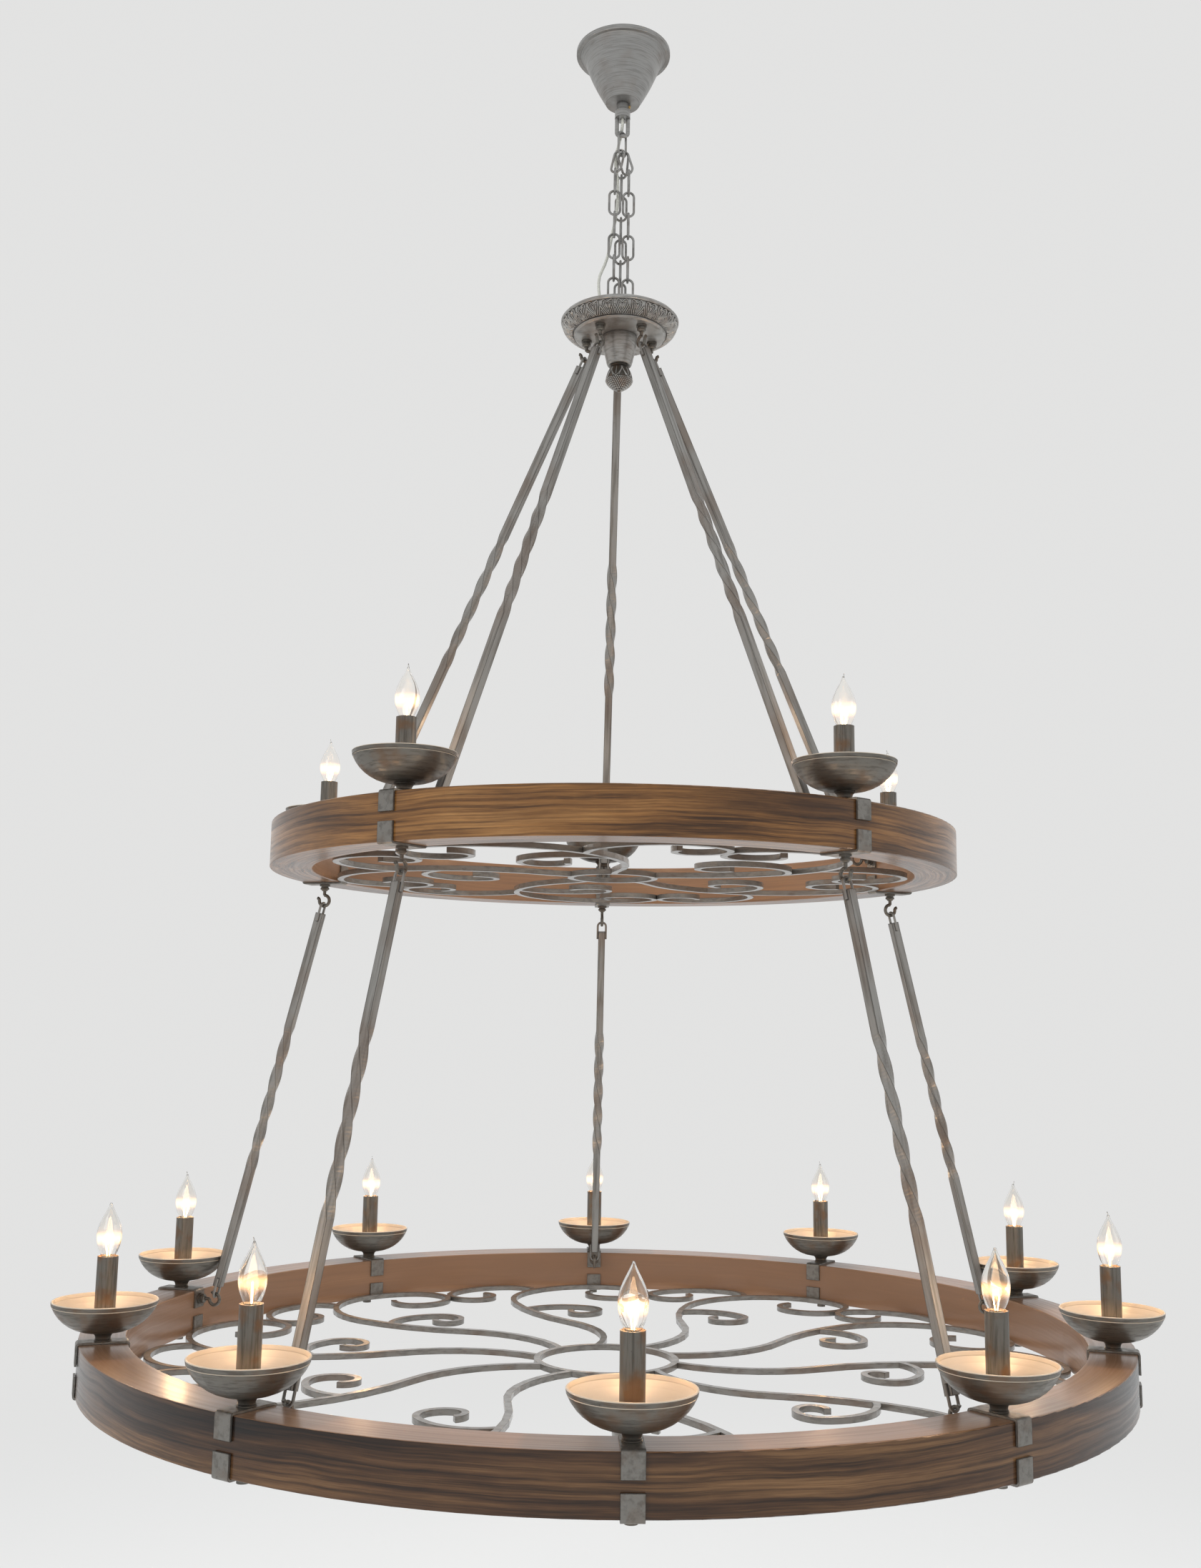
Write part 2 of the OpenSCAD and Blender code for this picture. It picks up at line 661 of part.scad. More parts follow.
module lower_ring_hooks() {
    color(PEWTER) at_azimuths(BAR_AZ) leg_hook(LOWER_LEG_CURL);
}

// A wire bail that opens down, with the middle of its crown at the origin, in the YZ plane.
module bail() {
    translate([0, 0, -bail_r]) rotate([0, 0, 90]) rod_bend(bail_r, bail_wire, 0, 180);
    for (side = [-1, 1]) {
        translate([0, side * bail_r, -bail_r - bail_leg - bail_weld]) rod(bail_wire, bail_leg + bail_weld);
    }
}

// A bar between two curls, given as distances from the centre and heights.
module hanging_bar(a, b) {
    way = (b - a) / norm(b - a);
    span = norm(b - a) - 2 * load_gap;
    bar_l = span - 2 * (bail_r + bail_leg);
    plain_l = (bar_l - twist_l) / 2;
    slices = ceil(twist_turn / 9);
    translate([a[0] + load_gap * way[0], 0, a[1] + load_gap * way[1]])
        rotate([0, -atan2(way[0], -way[1]), 0]) {
            bail();
            translate([0, 0, -span]) mirror([0, 0, 1]) bail();
            translate([0, 0, -bail_r - bail_leg]) {
                for (z = [-plain_l, -bar_l]) {
                    translate([-bar_w / 2, -bar_w / 2, z]) cube([bar_w, bar_w, plain_l]);
                }
                translate([0, 0, -plain_l - twist_l])
                    linear_extrude(height = twist_l, twist = twist_turn, slices = slices, $fn = 4)
                    square(bar_w, center = true);
            }
        }
}

module upper_bar(i) {
    color(PEWTER) rotate([0, 0, BAR_AZ[i] - 90]) hanging_bar(HUB_CURL, UPPER_LEG_CURL);
}

module lower_bar(i) {
    color(PEWTER) rotate([0, 0, BAR_AZ[i] - 90]) hanging_bar(UNDER_CURL, LOWER_LEG_CURL);
}

// Rings and straps

module wood_ring(out_r, top, lights, hooks) {
    in_r = out_r - ring_w;
    color(WALNUT) translate([0, 0, top]) difference() {
        translate([0, 0, -ring_h]) rotate_extrude($fn = 180) translate([in_r, 0])
            eased_square(ring_w, ring_h, ring_edge);
        at_azimuths(lights) translate([in_r + ring_w / 2, 0, -ring_h - 1]) rod(rod_hole_d, ring_h + 2);
        at_azimuths(hooks) translate([in_r - 1, 0, -leg_hook_drop]) rotate([0, 90, 0])
            rod(hook_shank_d + 0.3, leg_shank_l - strap_t + 2);
    }
}

module upper_ring() {
    wood_ring(upper_out_r, -upper_drop, BAR_AZ, BAR_AZ);
}

module lower_ring() {
    wood_ring(lower_out_r, -lower_drop, LOWER_AZ, BAR_AZ);
}

// A strap over the wood, drawn with the wood's top at Z = 0 and its inner face at X = 0.
module strap(hook_hole) {
    low = -strap_play - strap_t;
    w = strap_span + 2 * strap_t;
    inner = strap_bend - strap_t;
    difference() {
        rotate([90, 0, 0]) linear_extrude(height = strap_w, center = true) difference() {
            union() {
                translate([low + strap_bend, -strap_leg]) square([w - 2 * strap_bend, strap_leg + strap_t]);
                translate([low, -strap_leg]) square([w, strap_leg + strap_t - strap_bend]);
                for (x = [low + strap_bend, low + w - strap_bend]) {
                    translate([x, strap_t - strap_bend]) circle(r = strap_bend, $fn = 32);
                }
            }
            translate([-strap_play + inner, -strap_leg - 1]) square([strap_span - 2 * inner, strap_leg + 1]);
            translate([-strap_play, -strap_leg - 1]) square([strap_span, strap_leg + 1 - inner]);
            for (x = [-strap_play + inner, strap_span - strap_play - inner]) {
                translate([x, -inner]) circle(r = inner, $fn = 32);
            }
        }
        translate([ring_w / 2, 0, -1]) rod(rod_hole_d, strap_t + 2);
        if (hook_hole) {
            translate([low - 1, 0, -leg_hook_drop]) rotate([0, 90, 0])
                rod(hook_shank_d + 0.3, strap_t + 2);
        }
    }
}

module strap_pairs(in_r, top, lights, hooked) {
    color(PEWTER) for (az = lights) {
        rotate([0, 0, az - 90]) translate([in_r, 0, top]) {
            strap(len(search(az, hooked)) > 0);
            translate([0, 0, -ring_h]) mirror([0, 0, 1]) strap(false);
        }
    }
}

module upper_straps() {
    strap_pairs(upper_in_r, -upper_drop, BAR_AZ, BAR_AZ);
}

module lower_straps() {
    strap_pairs(lower_in_r, -lower_drop, LOWER_AZ, BAR_AZ);
}

module lower_cap_nuts() {
    color(PEWTER) at_azimuths(LOWER_AZ)
        translate([lower_mid_r, 0, -lower_drop - ring_h - strap_t - cap_nut_h]) difference() {
            union() {
                cylinder(d = cap_nut_d, h = cap_nut_h - 1.5);
                translate([0, 0, cap_nut_h - 1.5]) rod(cap_nut_d + 3, 1.5);
            }
            translate([0, 0, cap_nut_h - tube_tail - 0.3]) rod(rod_hole_d, tube_tail + 1);
        }
}

// Scrollwork

// A pose is a place and a heading. This is the pose after a bend.
function bent(pose, run) =
    let (side = sign(run[1]), h = pose[2], k = h + run[1])
    [pose[0] + side * run[0] * (sin(k) - sin(h)), pose[1] - side * run[0] * (cos(k) - cos(h)), k];

function pose_after(pose, runs, n) = n == 0 ? pose : bent(pose_after(pose, runs, n - 1), runs[n - 1]);

// The pose part of the way along one bend of a bar, turned aside for a branch.
function branch_pose(pose, runs, n, share, aside) =
    bent(pose_after(pose, runs, n), [runs[n][0], share * runs[n][1]]) + [0, 0, aside];

// Places along a bar's middle, as distances and azimuths from the centre.
function trail(pose, runs) = [for (i = [0 : len(runs) - 1], t = [0 : 0.05 : 1])
    let (q = bent(pose_after(pose, runs, i), [runs[i][0], t * runs[i][1]]))
    [norm([q[0], q[1]]), atan2(q[1], q[0])]];
function reach(pose, runs) = max([for (q = trail(pose, runs)) q[0]]);
function crown_angle(pose, runs) = let (r = reach(pose, runs))
    [for (q = trail(pose, runs)) if (q[0] == r) q[1]][0];

function scaled(runs, k) = [for (run = runs) [k * run[0], run[1]]];
function moved(pose, k) = [k * pose[0], k * pose[1], pose[2]];

// Poses along the whole bar, close enough together to draw its bends smoothly.
BEND_STEP = 9;
function bar_poses(pose, runs) = concat([pose], [for (i = [0 : len(runs) - 1])
    let (p = pose_after(pose, runs, i), n = ceil(max(abs(runs[i][1]) / BEND_STEP, 2)))
    for (t = [1 : n]) bent(p, [runs[i][0], runs[i][1] * t / n])]);
function beside(p, d) = [p[0] - d * sin(p[2]), p[1] + d * cos(p[2])];

// The outline of a flat bar forged along a list of bends.
module forged_bar(pose, runs) {
    way = bar_poses(pose, runs);
    n = len(way) - 1;
    polygon(concat([for (i = [0 : n]) beside(way[i], -scroll_w / 2)],
        [for (i = [n : -1 : 0]) beside(way[i], scroll_w / 2)]));
}

// The grille: a centre ring, and arms that each carry a curl and a rim scroll.
// branch gives the bend, the share of it and the turn aside at which a side scroll starts.
module grille(in_r, count, start, arm, curl, curl_at, rim, rim_at, hub_r) {
    k = (in_r - strap_play - strap_t - scroll_play - scroll_w / 2) / reach(start, arm);
    spin = crown_angle(start, arm);
    arm_k = scaled(arm, k);
    start_k = moved(start, k);
    linear_extrude(height = scroll_h) {
        difference() {
            circle(r = k * hub_r + scroll_w / 2);
            circle(r = k * hub_r - scroll_w / 2);
        }
        for (i = [0 : count - 1]) {
            rotate([0, 0, 360 * i / count - spin - 90]) {
                forged_bar(start_k, arm_k);
                forged_bar(branch_pose(start_k, arm_k, curl_at[0], curl_at[1], curl_at[2]), scaled(curl, k));
                forged_bar(branch_pose(start_k, arm_k, rim_at[0], rim_at[1], rim_at[2]), scaled(rim, k));
            }
        }
    }
}

module upper_scrollwork() {
    color(PEWTER) translate([0, 0, -upper_drop - ring_h]) rotate([0, 0, 36])
        grille(upper_in_r, 5, UPPER_START, UPPER_ARM, UPPER_CURL, [1, 0.7, -34], UPPER_RIM, [2, 0, 45],
               UPPER_HUB_R);
}

module lower_scrollwork() {
    color(PEWTER) translate([0, 0, -lower_drop - ring_h])
        grille(lower_in_r, 10, LOWER_START, LOWER_ARM, LOWER_CURL, [1, 0.68, -58], LOWER_RIM, [2, 0.7, 55],
               LOWER_HUB_R);
}

// Lights, each drawn about its own axis with the top of the wood at Z = 0

module stem_shape(tail) {
    foot = stem_foot_d / 2;
    head = stem_head_d / 2;
    waist = stem_waist_d / 2;
    translate([0, 0, stem_z]) rotate_extrude() polygon(concat(
        [[tube_bore / 2, 0], [foot, 0], [foot, 1.4], [foot - 1, 2], [foot - 0.4, 2.6],
         [foot - 1.4, stem_bead_h + 0.4]],
        [for (t = [0.2 : 0.2 : 0.8])
            [waist + (head - 1.5 - waist) * pow(t, 2.2), stem_bead_h + 0.4 + t * (stem_h - stem_bead_h - 2)]],
        [[head - 1, stem_h - 1.6], [head, stem_h - 1], [head, stem_h], [tube_bore / 2, stem_h]]
    ));
    difference() {
        translate([0, 0, -ring_h - strap_t - tail])
            rod(tube_d, ring_h + strap_t + tail + tube_top);
        translate([0, 0, -ring_h - strap_t - tail - 1])
            rod(tube_bore, ring_h + strap_t + tail + tube_top + 2);
    }
}

CUP_STEPS = 8;
CUP_SWEEP = 68;
// Radius and height of the cup's outside at a share of its bowl, from the foot to the band.
function cup_r(t) = stem_head_d / 2 - 1
    + (cup_d / 2 - 1.4 - stem_head_d / 2 + 1) * sin(CUP_SWEEP * t) / sin(CUP_SWEEP);
function cup_rise(t) = (cup_h - cup_band_h) * (1 - cos(CUP_SWEEP * t)) / (1 - cos(CUP_SWEEP));

module cup_shape() {
    rim = cup_d / 2;
    groove = 1.2;
    outer = [for (i = [0 : CUP_STEPS]) [cup_r(i / CUP_STEPS), cup_rise(i / CUP_STEPS)]];
    inner = [for (i = [CUP_STEPS : -1 : 0])
        [cup_r(i / CUP_STEPS) - cup_wall * sin(CUP_SWEEP * i / CUP_STEPS) - (i == 0 ? 0 : 0.4),
         cup_rise(i / CUP_STEPS) + cup_wall]];
    hole = tube_d / 2 + 0.3;
    translate([0, 0, cup_z]) rotate_extrude($fn = 96) polygon(concat(
        [[hole, 0]], outer,
        [[rim - 2, cup_h - cup_band_h + groove], [rim - 0.8, cup_h - cup_band_h + groove],
         [rim, cup_h - 1], [rim - 0.8, cup_h], [rim - cup_wall - 0.6, cup_h],
         [rim - cup_wall - 1.6, cup_h - cup_band_h + cup_wall + 1]],
        inner, [[hole, cup_wall]]
    ));
}

module socket_shape(sleeve_h) {
    top = sleeve_z + sleeve_h - socket_drop;
    low = floor_z + 2;
    bore = bulb_base_d + 2 * socket_bore_play;
    depth = bulb_base_l + 2;
    translate([0, 0, low]) difference() {
        rod(socket_d, top - low);
        translate([0, 0, top - low - depth]) rod(bore, depth + 1);
        translate([0, 0, -1]) rod(tube_d + 0.3, tube_top - low + 2);
    }
}

module sleeve_shape(sleeve_h) {
    translate([0, 0, sleeve_z]) difference() {
        rod(sleeve_d, sleeve_h);
        translate([0, 0, -1]) rod(sleeve_d - 2 * sleeve_wall, sleeve_h + 2);
    }
}

// Radius of a bulb's glass at a share of its height, widest low down and drawn to a tip.
BULB_STEPS = 14;
bulb_neck_r = 6.4;
bulb_tip_r = 1.6;
bulb_belly = 0.44;
function bulb_r(t) = t < bulb_belly
    ? bulb_neck_r + (bulb_d / 2 - bulb_neck_r) * sin(90 * pow(t / bulb_belly, 0.8))
    : bulb_tip_r + (bulb_d / 2 - bulb_tip_r) * pow(cos(90 * (t - bulb_belly) / (1 - bulb_belly)), 1.25);

// A bulb with the end of its base at the origin. A bent tip turns a little to one side.
module bulb_shape(bent_tip) {
    glass_h = bent_tip ? bulb_glass_h - 7 : bulb_glass_h - 5;
    outer = [for (i = [0 : BULB_STEPS]) [bulb_r(i / BULB_STEPS), i / BULB_STEPS * glass_h]];
    inner = [for (i = [BULB_STEPS - 1 : -1 : 0])
        [max(bulb_r(i / BULB_STEPS) - bulb_wall, 0.6), i / BULB_STEPS * glass_h + 0.2]];
    tip_lean = 18;
    collar_h = 1.5;
    rod(bulb_base_d, bulb_base_l);
    translate([0, 0, bulb_base_l]) {
        rod(2 * bulb_neck_r, collar_h);
        rotate_extrude($fn = 48) polygon(concat(outer, [[0, glass_h], [0, glass_h - 2]], inner));
        translate([0, 0, glass_h - 1.5]) sphere(r = bulb_tip_r + 0.3);
        if (bent_tip) {
            translate([0, 0, glass_h - 1]) rotate([0, tip_lean, 0])
                cylinder(d1 = 1.7 * bulb_tip_r, d2 = 0.7 * bulb_tip_r, h = 8);
        }
    }
}

module on_upper() {
    at_azimuths(BAR_AZ) translate([upper_mid_r, 0, -upper_drop]) children();
}

module on_lower() {
    at_azimuths(LOWER_AZ) translate([lower_mid_r, 0, -lower_drop]) children();
}

module upper_stems() {
    color(PEWTER) on_upper() stem_shape(tube_tail);
}

module lower_stems() {
    color(PEWTER) on_lower() stem_shape(tube_tail);
}

module upper_cups() {
    color(PEWTER) on_upper() cup_shape();
}

module lower_cups() {
    color(PEWTER) on_lower() cup_shape();
}

module upper_sockets() {
    color(PORCELAIN) on_upper() socket_shape(upper_sleeve_h);
}

module lower_sockets() {
    color(PORCELAIN) on_lower() socket_shape(lower_sleeve_h);
}

module upper_sleeves() {
    color(PEWTER) on_upper() sleeve_shape(upper_sleeve_h);
}

module lower_sleeves() {
    color(PEWTER) on_lower() sleeve_shape(lower_sleeve_h);
}

// Bulbs 1 to 5 are on the upper ring and bulbs 6 to 15 on the lower ring.
module bulb(n) {
    up = n <= 5;
    az = up ? BAR_AZ[n - 1] : LOWER_AZ[n - 6];
    r = up ? upper_mid_r : lower_mid_r;
    top = up ? -upper_drop + upper_sleeve_h : -lower_drop + lower_sleeve_h;
    tip_turn = 137 * n;
    color(BULB_GLASS) rotate([0, 0, az - 90])
        translate([r, 0, top + sleeve_z - socket_drop - bulb_base_l + 0.3])
        rotate([0, 0, tip_turn]) bulb_shape(len(search(n, SMOOTH_BULBS)) == 0);
}

ceiling_crossbar();
nipple_locknut();
threaded_nipple();
canopy();
canopy_collar();
collar_set_screw();
canopy_cord();
canopy_loop();
common_link();
link_cord();
chain_links();
supply_cord();
hub_loops();
hub_cover();
hub_dish();
hub_cone();
hub_finial();
hub_hooks();
for (i = [0 : 4]) {
    upper_bar(i);
    lower_bar(i);
}
upper_ring();
upper_straps();
upper_ring_hooks();
upper_scrollwork();
upper_stems();
upper_cups();
upper_sockets();
upper_sleeves();
lower_ring();
lower_straps();
lower_ring_hooks();
lower_cap_nuts();
lower_scrollwork();
lower_stems();
lower_cups();
lower_sockets();
lower_sleeves();
for (n = [1 : 15]) {
    bulb(n);
}
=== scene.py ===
# %% [markdown]
# # A two tier ring chandelier
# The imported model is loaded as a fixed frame: its wood rings, iron scrollwork, bars, hooks, cups
# and chain are already the right shape and size. This script dresses it. It gives every part a
# finish, makes the lit bulbs and the small castings on the hub, and sets the camera and the light.

import json
import math

import bmesh
import bpy
from mathutils import Matrix, Vector


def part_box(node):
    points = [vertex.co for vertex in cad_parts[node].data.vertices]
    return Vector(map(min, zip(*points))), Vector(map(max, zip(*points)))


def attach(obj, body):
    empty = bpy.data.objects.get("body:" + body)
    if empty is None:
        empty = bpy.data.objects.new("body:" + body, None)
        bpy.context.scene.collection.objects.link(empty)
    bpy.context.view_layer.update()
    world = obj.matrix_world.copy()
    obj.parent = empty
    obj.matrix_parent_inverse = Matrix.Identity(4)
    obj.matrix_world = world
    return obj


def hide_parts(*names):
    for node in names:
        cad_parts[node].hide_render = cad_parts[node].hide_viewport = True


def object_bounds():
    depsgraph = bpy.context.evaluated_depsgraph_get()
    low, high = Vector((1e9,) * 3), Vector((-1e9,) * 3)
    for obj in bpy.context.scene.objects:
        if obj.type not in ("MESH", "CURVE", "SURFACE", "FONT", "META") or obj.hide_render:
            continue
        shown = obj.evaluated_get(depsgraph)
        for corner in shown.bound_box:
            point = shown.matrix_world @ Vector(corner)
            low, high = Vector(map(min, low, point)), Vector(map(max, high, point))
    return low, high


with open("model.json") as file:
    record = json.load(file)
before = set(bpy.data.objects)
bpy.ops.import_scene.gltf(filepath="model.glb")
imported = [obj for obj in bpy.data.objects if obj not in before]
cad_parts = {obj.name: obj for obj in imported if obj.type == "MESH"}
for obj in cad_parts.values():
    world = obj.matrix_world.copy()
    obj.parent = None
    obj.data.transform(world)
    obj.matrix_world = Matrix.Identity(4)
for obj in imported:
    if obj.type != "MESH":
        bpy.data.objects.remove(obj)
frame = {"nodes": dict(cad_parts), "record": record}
NODES = frame["nodes"]
CAD_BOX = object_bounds()
MM = 0.001
HUB = "chain_and_hub"

# %% [markdown]
# The camera stands in front of the fixture and below its middle, and looks up a little. Its place,
# its lens and its small lean are the ones that put the two rings, the hub and the canopy where the
# photograph has them. The picture is 1680 wide and 2194 tall, so the sensor's long side is upright.

# %% Camera
EYE = Vector((-93.2, -2433.8, -1682.6)) * MM
PITCH, YAW, ROLL = 0.1614, 0.0295, 0.0145
SENSOR_MM, FRAME_LONG_PX, FOCAL_PX = 36.0, 2194, 2153.2


def camera_axes(pitch, yaw, roll):
    """The camera's right, up and backward directions."""
    ahead = Vector((math.sin(yaw) * math.cos(pitch), math.cos(yaw) * math.cos(pitch), math.sin(pitch)))
    level = Vector((math.cos(yaw), -math.sin(yaw), 0))
    above = level.cross(ahead)
    right = math.cos(roll) * level + math.sin(roll) * above
    return right, math.cos(roll) * above - math.sin(roll) * level, -ahead


camera = bpy.data.objects.new("camera", bpy.data.cameras.new("camera"))
bpy.context.scene.collection.objects.link(camera)
camera.data.sensor_width = SENSOR_MM
camera.data.lens = SENSOR_MM * FOCAL_PX / FRAME_LONG_PX
camera.data.clip_end = 100
right, above, behind = camera_axes(PITCH, YAW, ROLL)
camera.matrix_world = Matrix.Translation(EYE) @ Matrix((right, above, behind)).transposed().to_4x4()
bpy.context.scene.camera = camera
bpy.context.scene.view_settings.view_transform = "Standard"
print("camera lens:", round(camera.data.lens, 2), "mm")

# %% [markdown]
# The fixture hangs in a pale room. One broad floor far below takes its shadow, and the world is the
# pale wall and ceiling. The world is a little stronger for camera, mirror and glass rays than for
# the light that falls on the object, so the room looks bright and the colours stay as written. Far
# from the object the floor fades to the wall's colour, so that no horizon cuts behind the rings.

# %% Room
FLOOR_DROP, FLOOR_SIZE = 0.9, 60.0
FLOOR_FADE = (1.5, 5.0)
ROOM_COLOUR = (0.765, 0.765, 0.76, 1)
FLOOR_COLOUR = (0.86, 0.86, 0.85, 1)
ROOM_LIGHT = (0.97, 0.985, 1.0, 1)
ROOM_STRENGTH, SEEN_STRENGTH = 0.75, 1.0


def new_tree(owner):
    """An empty shader tree of a material or a world."""
    owner.use_nodes = True
    owner.node_tree.nodes.clear()
    return owner.node_tree


def add(tree, kind, **settings):
    """A new shader node. Settings are its properties, or its inputs where the name is an input's."""
    node = tree.nodes.new(kind)
    for name, value in settings.items():
        if hasattr(node, name):
            setattr(node, name, value)
        else:
            node.inputs[name.replace("_", " ")].default_value = value
    return node


def join(tree, *pairs):
    """Links each (output, input) pair."""
    for source, target in pairs:
        tree.links.new(source, target)


world = bpy.data.worlds.new("pale_room")
bpy.context.scene.world = world
tree = new_tree(world)
rays = add(tree, "ShaderNodeLightPath")
seen = add(tree, "ShaderNodeMath", operation="MAXIMUM")
seen_or_through = add(tree, "ShaderNodeMath", operation="MAXIMUM")
light = add(tree, "ShaderNodeBackground", Color=ROOM_LIGHT, Strength=ROOM_STRENGTH)
wall = add(tree, "ShaderNodeBackground", Color=ROOM_COLOUR, Strength=SEEN_STRENGTH)
pick = add(tree, "ShaderNodeMixShader")
out = add(tree, "ShaderNodeOutputWorld")
join(tree, (rays.outputs["Is Camera Ray"], seen.inputs[0]), (rays.outputs["Is Glossy Ray"], seen.inputs[1]),
     (seen.outputs[0], seen_or_through.inputs[0]),
     (rays.outputs["Is Transmission Ray"], seen_or_through.inputs[1]),
     (seen_or_through.outputs[0], pick.inputs[0]), (light.outputs[0], pick.inputs[1]),
     (wall.outputs[0], pick.inputs[2]), (pick.outputs[0], out.inputs[0]))


def object_from(name, bm, material=None, smooth=True):
    """Finishes a bmesh as an object at the origin, with its faces pointing outwards."""
    bmesh.ops.remove_doubles(bm, verts=bm.verts, dist=1e-6)
    bmesh.ops.recalc_face_normals(bm, faces=bm.faces)
    mesh = bpy.data.meshes.new(name)
    bm.to_mesh(mesh)
    bm.free()
    mesh.shade_smooth() if smooth else mesh.shade_flat()
    thing = bpy.data.objects.new(name, mesh)
    bpy.context.scene.collection.objects.link(thing)
    if material:
        mesh.materials.append(material)
    return thing


floor_paint = bpy.data.materials.new("floor_paint")
tree = new_tree(floor_paint)
spot = add(tree, "ShaderNodeTexCoord")
flat = add(tree, "ShaderNodeVectorMath", operation="MULTIPLY")
flat.inputs[1].default_value = (1, 1, 0)
away = add(tree, "ShaderNodeVectorMath", operation="LENGTH")
far = add(tree, "ShaderNodeMapRange", interpolation_type="SMOOTHSTEP")
far.inputs["From Min"].default_value, far.inputs["From Max"].default_value = FLOOR_FADE
rays = add(tree, "ShaderNodeLightPath")
far_seen = add(tree, "ShaderNodeMath", operation="MULTIPLY")
matt = add(tree, "ShaderNodeBsdfPrincipled", Base_Color=FLOOR_COLOUR, Roughness=0.9)
matt.inputs["Specular IOR Level"].default_value = 0.0
haze = add(tree, "ShaderNodeEmission", Color=ROOM_COLOUR)
pick = add(tree, "ShaderNodeMixShader")
join(tree, (spot.outputs["Object"], flat.inputs[0]), (flat.outputs[0], away.inputs[0]),
     (away.outputs["Value"], far.inputs["Value"]), (far.outputs[0], far_seen.inputs[0]),
     (rays.outputs["Is Camera Ray"], far_seen.inputs[1]), (far_seen.outputs[0], pick.inputs[0]),
     (matt.outputs[0], pick.inputs[1]), (haze.outputs[0], pick.inputs[2]),
     (pick.outputs[0], add(tree, "ShaderNodeOutputMaterial").inputs[0]))
bm = bmesh.new()
bmesh.ops.create_grid(bm, x_segments=1, y_segments=1, size=FLOOR_SIZE / 2)
bmesh.ops.translate(bm, verts=bm.verts, vec=(0, 0, CAD_BOX[0][2] - FLOOR_DROP))
floor = object_from("floor", bm, floor_paint, smooth=False)

# %% [markdown]
# Three soft lamps light the room: a large one from the front left, a weaker one from the right and
# one from overhead that gives the rings' tops their light.

# %% Room lamps
def soft_lamp(name, place, aim, size, watts, colour=(1, 1, 1)):
    """A square soft lamp that faces a point."""
    data = bpy.data.lights.new(name, "AREA")
    data.size, data.energy, data.color = size, watts, colour
    lamp = bpy.data.objects.new(name, data)
    lamp.location = place
    lamp.rotation_euler = (Vector(aim) - Vector(place)).to_track_quat("-Z", "Y").to_euler()
    lamp.visible_glossy = False
    bpy.context.scene.collection.objects.link(lamp)
    return lamp


MIDDLE = (0, 0, -1.3)
soft_lamp("front_lamp", (-3.0, -3.6, 0.4), MIDDLE, 2.4, 70)
soft_lamp("side_lamp", (3.6, -1.2, -0.8), MIDDLE, 2.0, 24)
soft_lamp("top_lamp", (0.8, 1.6, 2.2), MIDDLE, 2.6, 60)

# %% [markdown]
# ## Finishes
# Every iron part has the same paint: a dark base coat, brushed over with pewter so that the base
# shows as soft streaks, with a brown glaze rubbed on in patches. Along every edge the pewter wore
# off and left a thin dark line. One node group makes the streaks, patches and pits. Its Strokes
# input says how fine the streaks are along X, Y and Z, because a brush follows the part. Its
# Pewter input is the top colour: light on the canopy, chain and hub, darker on the bars and scrolls,
# and darkest on cups, stems and hooks.

# %% Brushed paint group
def new_group(name, inputs, outputs):
    """An empty node group with named sockets, given as (name, socket type, default)."""
    group = bpy.data.node_groups.new(name, "ShaderNodeTree")
    for label, kind, value in inputs:
        socket = group.interface.new_socket(label, in_out="INPUT", socket_type=kind)
        if value is not None:
            socket.default_value = value
    for label, kind in outputs:
        group.interface.new_socket(label, in_out="OUTPUT", socket_type=kind)
    return group, group.nodes.new("NodeGroupInput"), group.nodes.new("NodeGroupOutput")


def span(tree, low, high, to_low=0.0, to_high=1.0, smooth=True):
    """A node that maps low..high to to_low..to_high, with soft ends."""
    node = add(tree, "ShaderNodeMapRange", interpolation_type="SMOOTHSTEP" if smooth else "LINEAR")
    for label, value in zip(("From Min", "From Max", "To Min", "To Max"), (low, high, to_low, to_high)):
        node.inputs[label].default_value = value
    return node


BASE_COAT = (0.080, 0.072, 0.062, 1)
GLAZE = (0.150, 0.092, 0.056, 1)
# The last colour is the dark of worn edges. On some parts it is also painted shade in corners.
EDGE_WEAR_AND_SHADE = (0.026, 0.023, 0.020, 1)
brushed, gin, gout = new_group(
    "brushed_pewter",
    [("Vector", "NodeSocketVector", None), ("Strokes", "NodeSocketVector", (90, 90, 12)),
     ("Pewter", "NodeSocketColor", (0.27, 0.26, 0.24, 1)), ("Patch Scale", "NodeSocketFloat", 14.0),
     ("Edge Wear And Shade", "NodeSocketFloat", 0.0), ("Streaks", "NodeSocketFloat", 0.6),
     ("Glaze Amount", "NodeSocketFloat", 0.5)],
    [("Color", "NodeSocketColor"), ("Roughness", "NodeSocketFloat"), ("Height", "NodeSocketFloat")])
stretch = add(brushed, "ShaderNodeVectorMath", operation="MULTIPLY")
stroke = add(brushed, "ShaderNodeTexNoise", Scale=1.0, Detail=5.0, Roughness=0.6)
patch = add(brushed, "ShaderNodeTexNoise", Detail=3.0, Roughness=0.5)
pits = add(brushed, "ShaderNodeTexNoise", Scale=260.0, Detail=2.0)
base_shows = span(brushed, 0.56, 0.34)
base_much = add(brushed, "ShaderNodeMath", operation="MULTIPLY")
glaze_patch = span(brushed, 0.46, 0.66)
glaze_much = add(brushed, "ShaderNodeMath", operation="MULTIPLY")
pit_mask = span(brushed, 0.27, 0.22, 0.0, 0.6)
# Pits, worn edges and, on some parts, painted shade in corners all take the darkest colour.
pits_wear_and_shade = add(brushed, "ShaderNodeMath", operation="MAXIMUM")
mixes = [add(brushed, "ShaderNodeMix", data_type="RGBA") for _ in range(3)]
mixes[0].inputs[7].default_value = BASE_COAT
mixes[1].inputs[7].default_value, mixes[2].inputs[7].default_value = GLAZE, EDGE_WEAR_AND_SHADE
rough = span(brushed, 0.3, 0.7, 0.46, 0.30)
height = add(brushed, "ShaderNodeMath", operation="SUBTRACT")
